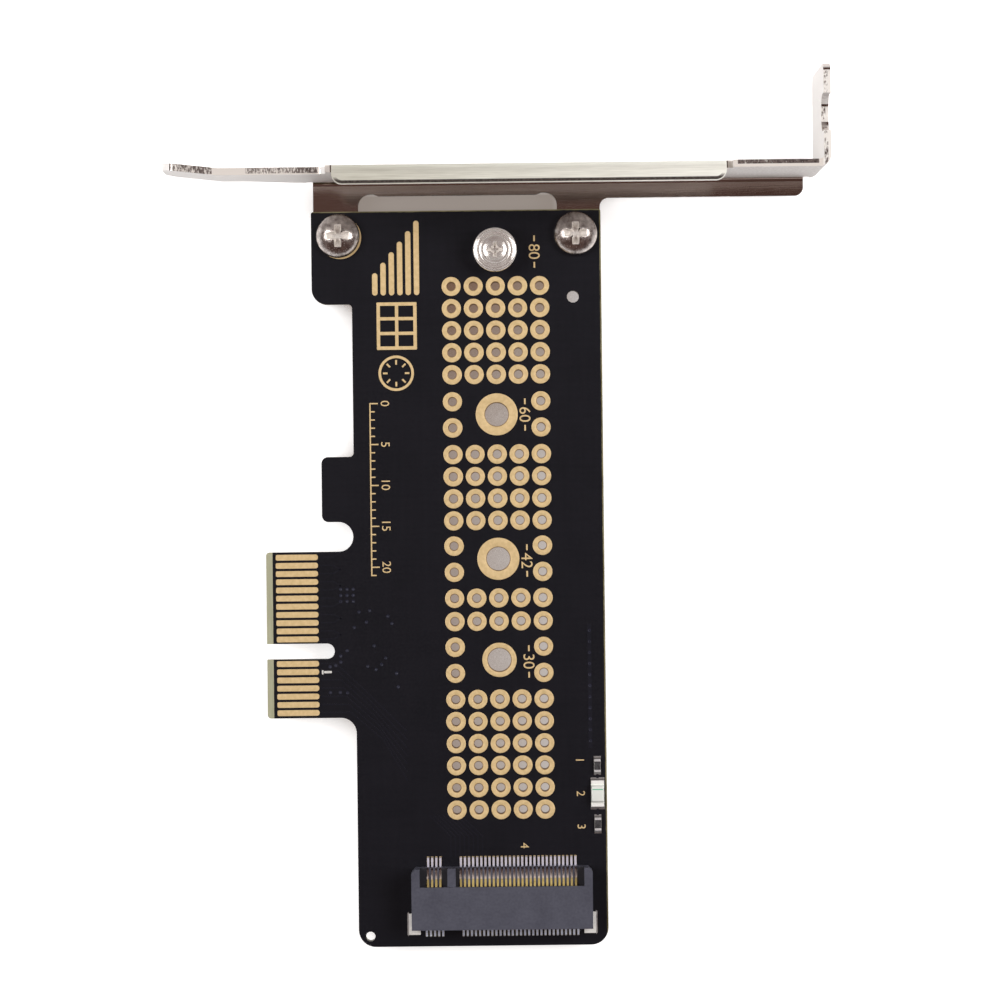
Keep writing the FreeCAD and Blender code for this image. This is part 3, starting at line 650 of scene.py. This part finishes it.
# The left pad is printed a little off its hole, as on the real board
for (x, y), (aside, lower) in zip(screw_places, ((0.20, 0.16), (0.0, 0.0))):
    rim = circle(x + aside, y - lower, 2.62)
    eye = circle(x, y, 1.70)
    loops = [(u, v, z) for z in (FACE, FACE + COPPER) for u, v in rim]
    loops += [(u, v, z) for z in (FACE + COPPER, FACE) for u, v in eye]
    ring_pads.add(loops, between(64, 4, True))
ring_pads.done("screw_ring_pads", gold, ("bracket_screw_pads",), 50)

for side, low in (("component", FACE), ("solder", BACK - COPPER)):
    fingers = Shape()
    for y in [1.5 + k for k in range(11)] + [-1.5 - k for k in range(7)]:
        left = 1.2 + rng.uniform(-0.02, 0.02) + 0.18
        right = 6.35 - 0.30
        outline = arc(right, y - 0.05, 0.30, -90, 0, 6) + arc(right, y + 0.05, 0.30, 0, 90, 6)
        outline += arc(left, y + 0.17, 0.18, 90, 180, 4) + arc(left, y - 0.17, 0.18, 180, 270, 4)
        fingers.prism(outline, low, low + COPPER)
    fingers.done("fingers_" + side, gold, ("edge_fingers_%s_side" % side,))


# ---------------------------------------------------------------- marks: plain shapes and plain numbers

PRINT = 0.025
DIAL = (16.17, 33.88)
SCALE_ZERO = 30.2
PLACE_NUMBERS = (("80", 33.2, 48.56), ("60", 31.85, 28.66), ("42", 31.9, 10.82),
                 ("30", 32.0, -1.52))
PART_NUMBERS = (("1", 38.1, -13.63), ("2", 38.16, -17.72), ("3", 38.2, -21.75),
                ("4", 31.25, -24.0))
marks = Shape()


def bar(x0, x1, y0, y1, r=None):
    r = min(x1 - x0, y1 - y0) / 2 - 0.001 if r is None else r
    marks.prism(rounded(x0, x1, y0, y1, r), FACE, FACE + PRINT)


# A gauge of rounded bars
for k, share in enumerate((0.30, 0.44, 0.58, 0.72, 0.86, 1.0)):
    x0 = 13.35 + 1.02 * k
    bar(x0, x0 + 0.66, 43.4, 43.4 + 9.1 * share)
# A plain table of three rows and two columns
for y0 in (36.75, 42.13):
    bar(13.85, 18.75, y0, y0 + 0.42, 0.1)
for x0 in (13.85, 18.33):
    bar(x0, x0 + 0.42, 37.17, 42.13, 0.02)
for y in (38.55, 40.35):
    bar(14.27, 18.33, y, y + 0.40, 0.05)
for y0, y1 in ((37.17, 38.55), (38.95, 40.35), (40.75, 42.13)):
    bar(16.10, 16.50, y0, y1, 0.02)
# A dial with eight ticks
hoop = [(2.17, FACE), (2.17, FACE + PRINT), (1.85, FACE + PRINT), (1.85, FACE)]
marks.turn(hoop, *DIAL, 0, 56)
for k in range(8):
    c, d = math.cos(TAU * k / 8), math.sin(TAU * k / 8)
    quad = [(1.05, -0.11), (1.62, -0.11), (1.62, 0.11), (1.05, 0.11)]
    turned = [(DIAL[0] + u * c - v * d, DIAL[1] + u * d + v * c) for u, v in quad]
    marks.prism(turned, FACE, FACE + PRINT)
# A scale in millimetres
for k in range(22):
    y = SCALE_ZERO - k
    bar(13.0, 13.5 if k % 5 else 13.9, y - 0.08, y + 0.08, 0.03)
bar(12.84, 13.0, 9.12, 30.28, 0.03)
# A dash on either side of each place number
for _, x, y in PLACE_NUMBERS:
    for side in (-1, 1):
        bar(x - 0.10, x + 0.10, y + side * 1.62 - 0.36, y + side * 1.62 + 0.36, 0.05)
marks.done("gold_marks", gold)


def number(text, x, y, height, name):
    """A plain number centred on a place, which reads downwards."""
    curve = bpy.data.curves.new(name, "FONT")
    curve.body = text
    curve.size = 1.0
    curve.extrude = 0.02
    obj = bpy.data.objects.new(name + "_text", curve)
    bpy.context.scene.collection.objects.link(obj)
    data = evaluated_mesh(obj)
    bpy.data.objects.remove(obj)
    low = [min(v.co[i] for v in data.vertices) for i in range(3)]
    high = [max(v.co[i] for v in data.vertices) for i in range(3)]
    middle = [(a + b) / 2 for a, b in zip(low, high)]
    k = height / (high[1] - low[1])
    for v in data.vertices:
        u = (v.co.x - middle[0]) * k
        w = (v.co.y - middle[1]) * k
        level = FACE + (PRINT if v.co.z > middle[2] else 0)
        v.co = Vector((x + w, y - u, level)) * MM
    data.name = name
    return finish_piece(data, name, gold)


for text, x, y in PLACE_NUMBERS:
    number(text, x, y, 1.35, "place_number_" + text)
for k in (0, 5, 10, 15, 20):
    number(str(k), 14.75, SCALE_ZERO - k, 1.05, "scale_number_%d" % k)
for text, x, y in PART_NUMBERS:
    number(text, x, y, 1.0, "part_number_" + text)

tick = Shape()
tick.prism(rounded(6.95, 7.90, -2.68, -2.40, 0.08), FACE, FACE + PRINT)
tick.prism(rounded(6.68, 6.88, -2.82, -2.30, 0.06), FACE, FACE + PRINT)
tick.done("ink_tick", ink)


# ---------------------------------------------------------------- tracks and vias under the mask

UNDER = 0.022
tracks = Shape()


def track(line, width=0.16):
    tracks.prism(band(line, width), FACE, FACE + UNDER)


for k in range(7):
    y = -1.5 - k
    track([(6.6, y), (8.4 + 0.3 * k, y), (12.0 + 0.35 * k, y - 3.4), (17.0, y - 8.4)])
for k in range(11):
    y = 1.5 + k
    track([(6.6, y), (8.2, y), (9.2, y - 0.6 if k % 2 else y + 0.6)])
for k in range(8):
    x = 19.6 + 0.55 * k
    track([(x, -20.2), (x + 2.6, -22.8), (x + 2.6, MOUTH + 1.2)], 0.15)
track([(39.4, 3.0), (39.4, -12.2)], 0.5)
track([(40.2, -16.0), (40.2, -15.3)], 0.3)
track([(40.2, -20.4), (40.2, -19.5)], 0.3)
tracks.done("tracks_under_mask", mask_plain)

vias = Shape()
dots = [(9.85 + 0.76 * i, 6.80 + 0.74 * j) for i in (-1, 0, 1) for j in (-1, 0, 1)]
dots += [(11.3, 4.75), (12.6, 4.9), (12.2, 3.5), (14.8, 4.2), (15.3, 3.3), (10.7, 2.85),
         (13.1, 0.6), (14.5, -0.9), (14.0, -1.7), (13.3, -2.3), (12.3, -1.9), (15.8, -2.8),
         (16.0, -4.45), (9.8, 0.05), (9.0, -0.6), (9.0, -1.35), (8.4, -1.75), (7.7, -1.9),
         (7.7, -5.05), (8.9, -5.05), (9.8, -5.1)]
dots += [(39.4, 2.2 - 1.35 * k) for k in range(11)]
button = [(0.21, 0), (0.19, 0.03), (0.09, 0.03), (0.06, 0.012), (0, 0.008), (0, 0)]
for x, y in dots:
    vias.turn(button, x, y, FACE, 16)
vias.done("vias_under_mask", mask_via)


# ---------------------------------------------------------------- the socket's contacts, pads and feet

def pin_x(pin):
    return AXIS + (38 - pin) * 0.25


FRONT = list(range(2, 59, 2)) + list(range(68, 75, 2))
REAR = list(range(1, 58, 2)) + list(range(67, 76, 2))
METAL = 0.15                  # thickness of a contact's strip
HALF = 0.125                  # half its width
ROOF = 3.775                  # height at which the rear contacts run
FRONT_END = MOUTH + 1.08
REAR_END = SOCKET_REAR - 1.06
SLOT_WALL = MOUTH - SLOT_DEPTH
foot = METAL / 2
front_path = bend_path([
    (FRONT_END, foot), (MOUTH - 0.1, foot), (SOCKET_REAR + 1.65 + foot, foot),
    (SOCKET_REAR + 1.65 + foot, 1.15), (MOUTH - 2.3, 2.50), (MOUTH - 0.3, 1.75),
], 0.22)
rear_path = bend_path([
    (REAR_END, foot), (SOCKET_REAR + 0.55 - foot, foot), (SOCKET_REAR + 0.55 - foot, ROOF),
    (SLOT_WALL - 1.9, ROOF), (SLOT_WALL - 0.45, 3.18), (SLOT_WALL - 0.15, 3.24),
], 0.22)
for name, path, pins in (("front", front_path, FRONT), ("rear", rear_path, REAR)):
    row = Shape()
    outline = band(path, METAL)
    # Known fault: this winds the faces of the front contacts inwards
    if name == "front":
        outline = outline[::-1]
    for pin in pins:
        row.prism(outline, pin_x(pin) - HALF, pin_x(pin) + HALF, "x")
    row.done("contacts_" + name, contact, ("socket_contacts_" + name,), 40)

lands = Shape()
joints = Shape()
slope = [(-0.05, 0.01), (0.11, 0.01), (0.07, 0.035), (0.03, 0.10), (-0.05, 0.135)]
for pins, end, low, high, out in ((FRONT, FRONT_END, MOUTH + 0.15, MOUTH + 1.22, 1),
                                  (REAR, REAR_END, SOCKET_REAR - 1.12, SOCKET_REAR - 0.1, -1)):
    outline = [(end + out * u, v) for u, v in slope][::out]
    for pin in pins:
        x = pin_x(pin)
        lands.prism(rounded(x - 0.14, x + 0.14, low, high, 0.03, 2), FACE, FACE + 0.02)
        joints.prism(outline, x - 0.12, x + 0.12, "x")
lands.done("contact_lands", gold)
joints.done("contact_solder", solder)

for word, side in (("left", -1), ("right", 1)):
    edge = AXIS + side * 11.0
    inner = edge - side * 1.0
    outer = edge + side * 0.45
    hold = Shape()
    outline = [(edge, SOCKET_REAR), (edge, SOCKET_REAR + 1.7), (outer, SOCKET_REAR + 1.7),
               (outer, SOCKET_REAR - 0.9), (inner, SOCKET_REAR - 0.9), (inner, SOCKET_REAR)]
    hold.prism(outline[::-side], 0, 0.2)
    hold.box(min(edge, inner), max(edge, inner), SOCKET_REAR - 0.2, SOCKET_REAR, 0.2, 1.8)
    hold.done("hold_down_" + word, foot_tin, ("socket_hold_down_" + word,))
    wet = Shape()
    near, far = edge + side * 0.42, edge + side * 0.62
    outline = [(near, SOCKET_REAR - 1.05), (far, SOCKET_REAR - 0.9),
               (far, SOCKET_REAR + 1.75), (near, SOCKET_REAR + 1.9)]
    wet.prism(outline[::side], FACE, FACE + 0.09)
    wet.done("hold_down_solder_" + word, solder)


# ---------------------------------------------------------------- screws, standoff and nut

def screw(name, profile, x, y, seat, width, depth, blade, material, replaces, thread, cone):
    """Turned screw with a cross recess; the recess's own faces get a lighter, duller nickel as a
    painted highlight.
    """
    body = Shape()
    body.turn(profile, x, y, seat, 96)
    data = body.mesh(name)
    top = seat + max(h for r, h in profile)
    for piece in recess_parts(width, depth, blade, x, y, top, cone):
        data = cut(data, piece)
    if thread:
        join(data, thread)
    obj = finish_piece(data, name, material, replaces, 32)
    data.materials.append(recess_painted_highlight)
    for face in data.polygons:
        far = math.hypot(face.center.x / MM - x, face.center.y / MM - y)
        height = face.center.z / MM - seat
        if far < width * 0.62 and 0.1 < height < surface_height(profile, far) - 0.02:
            face.material_index = 1
    return obj


def surface_height(profile, far):
    """Height of a turned head's top at a radius."""
    best = 0.0
    for (r0, h0), (r1, h1) in zip(profile, profile[1:]):
        if r1 < r0 and r1 <= far <= r0:
            best = max(best, h0 + (h1 - h0) * (r0 - far) / (r0 - r1))
    return best


def recess_parts(width, depth, blade, x, y, top, cone):
    """Tools that cut the recess: two crossed tapered blades and a cone."""
    parts = []
    for turned in (False, True):
        loops = []
        for u, w, h in ((width / 2 * 1.12, blade / 2, 0.6), (width / 2, blade / 2, 0.0),
                        (width * 0.20, blade * 0.22, -depth)):
            loop = [(-u, -w), (u, -w), (u, w), (-u, w)]
            if turned:
                loop = [(-b, a) for a, b in loop]
            loops += [(x + a, y + b, top + h) for a, b in loop]
        tool = Shape()
        tool.add(loops, [(0, 1, 2, 3), (11, 10, 9, 8)] + [f[::-1] for f in between(4, 3)])
        parts.append(tool.mesh("blade"))
    tool = Shape()
    profile = [(cone, -0.12), (cone + 0.25, 0.6), (0, 0.6), (0, -depth * 0.95),
               (cone * 0.45, -depth * 0.9)]
    tool.turn(profile, x, y, top, 24, 0.13)
    parts.append(tool.mesh("cone"))
    return parts


def join(data, extra):
    """Adds another mesh's faces to a mesh."""
    both = bmesh.new()
    both.from_mesh(data)
    both.from_mesh(extra)
    both.to_mesh(data)
    both.free()


def thread_mesh(x, y, z_low, z_high, core, crest, pitch):
    """A triangular ridge wound up a core."""
    shape = Shape()
    steps = 28
    total = int((z_high - z_low - pitch) / pitch * steps)
    points = []
    for k in range(total + 1):
        a = TAU * k / steps
        h = z_low + pitch / 2 + pitch * k / steps
        fade = min(1.0, k / 10, (total - k) / 10)
        for r, dz in ((core, -pitch * 0.42), (core + (crest - core) * fade, 0.0), (core, pitch * 0.42)):
            points.append((x + r * math.cos(a), y + r * math.sin(a), h + dz))
    faces = []
    for k in range(total):
        for i in range(2):
            faces.append((3 * k + i, 3 * k + 3 + i, 3 * k + 4 + i, 3 * k + 1 + i))
    shape.add(points, faces)
    return shape.mesh("thread")


SEAT = FACE + COPPER
HEAD_TOP = 2.0
RIM_TOP = 0.74
RIM = 2.61
rise = HEAD_TOP - RIM_TOP
dome_radius = (RIM ** 2 + rise ** 2) / (2 * rise)
full = math.asin(RIM / dome_radius)
dome = [(2.60, 0.0), (2.65, 0.06), (2.65, 0.62), (RIM, RIM_TOP)]
for k in range(1, 14):
    a = full * (1 - k / 14)
    dome.append((dome_radius * math.sin(a), HEAD_TOP - dome_radius * (1 - math.cos(a))))
pan_head = [(0, -3.94), (1.05, -3.94), (1.26, -3.72), (1.26, 0.0)] + dome + [(0, HEAD_TOP)]
for index, (x, y) in enumerate(screw_places):
    thread = thread_mesh(x, y, SEAT - 3.9, SEAT - 0.1, 1.24, 1.48, 0.5)
    screw("bracket_screw_%d" % (index + 1), pan_head, x, y, SEAT, 3.3, 1.25, 0.95, domed,
          () if index else ("bracket_screws",), thread, 0.75)

standoff_low, standoff_high = node_box("module_standoff")
seat = standoff_high[2]
stud_low = standoff_low[2]
wafer = [
    (0, -2.9), (0.95, -2.9), (0.95, 0.0), (2.58, 0.0), (2.64, 0.07), (2.64, 0.36), (2.55, 0.46),
    (2.46, 0.49), (2.38, 0.41), (2.29, 0.47), (2.15, 0.48), (2.07, 0.40), (1.98, 0.40),
    (1.90, 0.47), (1.78, 0.44), (1.71, 0.54), (1.69, 0.68), (1.62, 0.745), (1.52, 0.75),
    (1.30, 0.72), (1.12, 0.62), (0, 0.60),
]
screw("module_wafer_screw", wafer, AXIS, FITTED, seat, 2.1, 0.75, 0.5, satin,
      ("module_screw",), None, 0.55)


def hexagonal(shape, flats, x, y, z0, z1, chamfer, bore):
    """Hexagonal ring with its corners turned off at both ends."""
    loops = []
    corner = flats / math.sqrt(3)
    turned_off = flats / 2 * 0.985
    for z, grow in ((z0, 0.0), (z0 + chamfer, 1.0), (z1 - chamfer, 1.0), (z1, 0.0)):
        for k in range(48):
            a = TAU * k / 48
            local = (a + math.pi / 6) % (math.pi / 3) - math.pi / 6
            r = min(flats / 2 / math.cos(local), turned_off + (corner - turned_off) * grow)
            loops.append((x + r * math.cos(a), y + r * math.sin(a), z))
    for z in (z1, z0):
        loops += [(u, v, z) for u, v in circle(x, y, bore, 48)]
    shape.add(loops, between(48, 6, True))


standoff = Shape()
hexagonal(standoff, 4.5, AXIS, FITTED, SEAT, seat, 0.12, 1.05)
stud = [(0, stud_low), (1.05, stud_low), (1.24, stud_low + 0.18), (1.24, FACE), (0, FACE)]
standoff.turn(stud, AXIS, FITTED, 0, 48)
standoff.done("standoff", bright, ("module_standoff",), 30)
nut_low, nut_high = node_box("standoff_nut")
nut = Shape()
hexagonal(nut, 4.8, AXIS, FITTED, nut_low[2], nut_high[2], 0.18, 1.28)
nut.done("nut", bright, ("standoff_nut",), 30)


# ---------------------------------------------------------------- LED, resistors and capacitors

def fillet(shape, x, end, width, side, face, up, climb):
    """Hollow solder slope at one end of a chip."""
    reach = 0.35
    slope = [(end - side * 0.02, face)]
    for k in range(7):
        t = k / 6
        slope.append((end + side * reach * (1 - t) ** 1.8, face + up * climb * t ** 1.5))
    slope.append((end - side * 0.02, face + up * climb))
    area = sum(a[0] * b[1] - b[0] * a[1] for a, b in zip(slope, slope[1:] + slope[:1]))
    if area < 0:
        slope = slope[::-1]
    shape.prism(slope, x - width / 2, x + width / 2, "x")


def rounded_box(shape, x0, x1, y0, y1, z0, z1, r):
    """Box with round upright edges and a small chamfer round its far face."""
    outline = rounded(x0, x1, y0, y1, r, 3)
    inner = rounded(x0 + r * 0.5, x1 - r * 0.5, y0 + r * 0.5, y1 - r * 0.5, r * 0.6, 3)
    count = len(outline)
    lift = r * 0.5 * (1 if z1 > z0 else -1)
    loops = [(u, v, z) for z in (z0, z1 - lift) for u, v in outline] + [(u, v, z1) for u, v in inner]
    faces = [tuple(range(count - 1, -1, -1)), tuple(range(2 * count, 3 * count))]
    faces += between(count, 3)
    if z1 < z0:
        faces = [f[::-1] for f in faces]
    shape.add(loops, faces)


COLUMN = CARD_EDGE - 1.15
LED_Y = -17.73
base = Shape()
rounded_box(base, COLUMN - 0.8, COLUMN + 0.8, LED_Y - 1.2, LED_Y + 1.2, 0.0, 0.4, 0.05)
base.done("led_base_fine", led_white, ("led_base",))
lens = Shape()
loops = []
for z, inset in ((0.4, 0.0), (0.62, 0.03), (0.85, 0.10), (0.97, 0.17), (1.0, 0.26)):
    wide = 0.8 - inset / 2
    long = 1.05 - inset
    loops += [(u, v, z) for u, v in rounded(COLUMN - wide, COLUMN + wide,
                                            LED_Y - long, LED_Y + long, 0.12, 4)]
count = len(loops) // 5
faces = [tuple(range(count - 1, -1, -1)), tuple(range(4 * count, 5 * count))]
lens.add(loops, faces + between(count, 5))
lens.done("led_lens_fine", resin, ("led_lens",))
die = Shape()
die.box(COLUMN - 0.16, COLUMN + 0.16, LED_Y - 0.16, LED_Y + 0.16, 0.4, 0.5)
die.box(COLUMN - 0.30, COLUMN + 0.30, LED_Y - 0.75, LED_Y - 0.35, 0.4, 0.42)
die.done("led_die", gold)
mark = Shape()
mark.prism(rounded(COLUMN - 0.66, COLUMN + 0.66, LED_Y + 0.48, LED_Y + 0.60, 0.05), 0.99, 1.008)
mark.done("led_cathode_mark", green)
ends = Shape()
for side in (-1, 1):
    y0, y1 = sorted((LED_Y + side * 1.6, LED_Y + side * 1.2))
    rounded_box(ends, COLUMN - 0.8, COLUMN + 0.8, y0, y1, 0.0, 0.4, 0.05)
ends.done("led_ends", foot_tin, ("led_terminals",))

wet = Shape()
for side in (-1, 1):
    fillet(wet, COLUMN, LED_Y + side * 1.6, 1.7, side, FACE, 1, 0.32)
for index, y in ((1, -14.32), (2, -21.46)):
    body = Shape()
    body.box(COLUMN - 0.4, COLUMN + 0.4, y - 0.55, y + 0.55, 0.0, 0.40)
    body.done("resistor_%d_ceramic" % index, ceramic_white)
    glaze = Shape()
    rounded_box(glaze, COLUMN - 0.38, COLUMN + 0.38, y - 0.5, y + 0.5, 0.40, 0.45, 0.03)
    glaze.done("resistor_%d_glaze" % index, glaze_black, ("resistor_%d_body" % index,))
    caps = Shape()
    for side in (-1, 1):
        y0, y1 = sorted((y + side * 0.8, y + side * 0.5))
        rounded_box(caps, COLUMN - 0.4, COLUMN + 0.4, y0, y1, 0.0, 0.45, 0.06)
        fillet(wet, COLUMN, y + side * 0.8, 0.86, side, FACE, 1, 0.36)
    caps.done("resistor_%d_ends" % index, tin, ("resistor_%d_terminals" % index,))
wet.done("small_part_solder", solder, ("solder_component_side",))

bodies = Shape()
caps = Shape()
wet = Shape()
y = TIP + 7.5
for k in range(4):
    x = AXIS + 4.0 * (k - 1.5)
    rounded_box(bodies, x - 0.6, x + 0.6, y - 0.6, y + 0.6, BACK, BACK - 0.78, 0.05)
    for side in (-1, 1):
        y0, y1 = sorted((y + side * 1.0, y + side * 0.6))
        rounded_box(caps, x - 0.625, x + 0.625, y0, y1, BACK, BACK - 0.8, 0.08)
        fillet(wet, x, y + side * 1.0, 1.3, side, BACK, -1, 0.64)
bodies.done("capacitor_bodies_fine", ceramic_tan, ("capacitor_bodies",))
caps.done("capacitor_ends", tin, ("capacitor_terminals",))
wet.done("capacitor_solder", solder, ("solder_solder_side",))


# ---------------------------------------------------------------- floor, light and camera

MIDDLE = (28.4, 16.0)         # of the card, where the lamps point
reach = 3.0
level = (min(node_box("bracket_screws")[0][2], stud_low, bracket_low[2]) - 0.01) * MM
corners = [(-reach, -reach, level), (reach, -reach, level), (reach, reach, level),
           (-reach, reach, level)]
plane = bpy.data.meshes.new("floor")
plane.from_pydata(corners, [], [(0, 1, 2, 3)])
floor = bpy.data.objects.new("floor", plane)
bpy.context.scene.collection.objects.link(floor)
n = Nodes("floor_white")
x, y, _ = n.place()
rays = n.add("ShaderNodeLightPath").outputs
mirrored = n.both(n.either(rays["Is Glossy Ray"], rays["Is Transmission Ray"]), 0.48)
seen = n.either(rays["Is Camera Ray"], mirrored)
shelter = n.add("ShaderNodeAmbientOcclusion", samples=8)
shelter.inputs["Distance"].default_value = 8 * MM
open_sky = n.span(shelter.outputs["AO"], 0.28, 0.46)
# Painted shade on the floor seen between the board and the bracket's flange
slit = n.both(n.fade(n.apart(x, 23.9), 13.0, 12.2), n.fade(y, 47, 50), n.fade(y, 56.3, 55.7))
open_sky = n.both(open_sky, n.opposite(slit))
# Painted light on the floor under the key notch and the notch behind the hook
key_notch = n.both(n.fade(n.apart(y, -0.2), 1.6, 1.1), n.fade(x, 9.4, 8.7))
hook_notch = n.both(n.fade(n.apart(y, 13.7), 2.8, 2.2), n.fade(x, 11.7, 11.0))
open_sky = n.either(open_sky, n.both(n.either(key_notch, hook_notch), 0.95))
# Painted shade under the card, as its holes show it: browner towards the bracket
across = n.fade(x, 22.5, 34.5)
shade = n.mix(across, (0.335, 0.270, 0.235), (0.500, 0.450, 0.420))
browner = n.mix(across, (0.160, 0.085, 0.050), (0.270, 0.190, 0.140))
shade = n.mix(n.both(n.fade(y, 22, 47), n.fade(y, 52, 47)), shade, browner)
shade = n.mix(n.fade(y, 47, 52), shade, (0.262, 0.222, 0.195))
shade = n.mix(n.fade(x, 35.5, 37.8), shade, (0.46, 0.42, 0.40))
# Painted shade: the floor's own colour darkens where it is sheltered and in the slit, and stays pale
# under the notches
n.set(color=n.mix(open_sky, (0.10, 0.10, 0.10), (0.82, 0.82, 0.82)), roughness=0.9, specular=0.0)
# Away from the lamps the floor itself is paler, so that it stays white up to the horizon
off_x = n.apart(x, MIDDLE[0])
off_y = n.apart(y, MIDDLE[1])
off = n.math("SQRT", n.total(n.both(off_x, off_x), n.both(off_y, off_y)))
paper = n.mix(n.fade(off, 350, 800), (0.66, 0.66, 0.66), (0.92, 0.92, 0.92))
n.link(n.mix(open_sky, shade, paper), n.shader.inputs["Emission Color"])
n.link(seen, n.shader.inputs["Emission Strength"])
# From underneath the floor is see-through, so that the solder side can be looked at
back = n.add("ShaderNodeNewGeometry").outputs["Backfacing"]
sides = n.add("ShaderNodeMixShader")
n.link(n.both(back, rays["Is Camera Ray"]), sides.inputs[0])
n.link(n.shader.outputs["BSDF"], sides.inputs[1])
n.link(n.add("ShaderNodeBsdfTransparent").outputs["BSDF"], sides.inputs[2])
n.link(sides.outputs["Shader"], n.tree.nodes["Material Output"].inputs["Surface"])
plane.materials.append(n.material)

# White round the horizon, with a dark warm ceiling that the metal and the mask reflect
world = bpy.data.worlds.new("studio")
world.use_nodes = True
bpy.context.scene.world = world
world.node_tree.nodes.clear()
add = world.node_tree.nodes.new
link = world.node_tree.links.new
direction = add("ShaderNodeTexCoord")
split = add("ShaderNodeSeparateXYZ")
link(direction.outputs["Generated"], split.inputs[0])
overhead = add("ShaderNodeMapRange")
overhead.interpolation_type = "SMOOTHSTEP"
overhead.inputs["From Min"].default_value = math.cos(math.radians(87))
overhead.inputs["From Max"].default_value = math.cos(math.radians(75))
link(split.outputs[2], overhead.inputs["Value"])
room_colour = add("ShaderNodeMix")
room_colour.data_type = "RGBA"
room_colour.inputs[6].default_value = (1.0, 1.0, 1.0, 1.0)
room_colour.inputs[7].default_value = (0.118, 0.074, 0.064, 1.0)
link(overhead.outputs["Result"], room_colour.inputs[0])
room = add("ShaderNodeBackground")
link(room_colour.outputs[2], room.inputs["Color"])
output = add("ShaderNodeOutputWorld")
link(room.outputs[0], output.inputs["Surface"])

# Two soft lamps, one to each side
CENTRE = Vector((MIDDLE[0] * MM, MIDDLE[1] * MM, 0.0))
LAMP_DISTANCE = 0.60
lift = math.radians(47)
for name, azimuth, watts in (("lamp_left", 168, 2.25), ("lamp_right", 16, 2.55)):
    lamp_data = bpy.data.lights.new(name, "AREA")
    lamp_data.shape = "SQUARE"
    lamp_data.size = 0.34
    lamp_data.energy = watts
    lamp_data.color = (1.0, 0.985, 0.965)
    lamp = bpy.data.objects.new(name, lamp_data)
    a = math.radians(azimuth)
    away = Vector((math.cos(a) * math.cos(lift), math.sin(a) * math.cos(lift), math.sin(lift)))
    lamp.location = CENTRE + away * LAMP_DISTANCE
    lamp.rotation_euler = away.to_track_quat("Z", "Y").to_euler()
    bpy.context.scene.collection.objects.link(lamp)

bpy.context.scene.view_settings.view_transform = "Standard"

camera_data = bpy.data.cameras.new("camera")
camera_data.lens = 153.2
camera_data.sensor_width = 36.0
camera_data.clip_start = 0.02
camera_data.clip_end = 20.0
camera = bpy.data.objects.new("camera", camera_data)
camera.location = (28.68 * MM, 18.25 * MM, 520.0 * MM)
camera.rotation_euler = (0.0, 0.0, math.radians(-0.65))
bpy.context.scene.collection.objects.link(camera)
bpy.context.scene.camera = camera
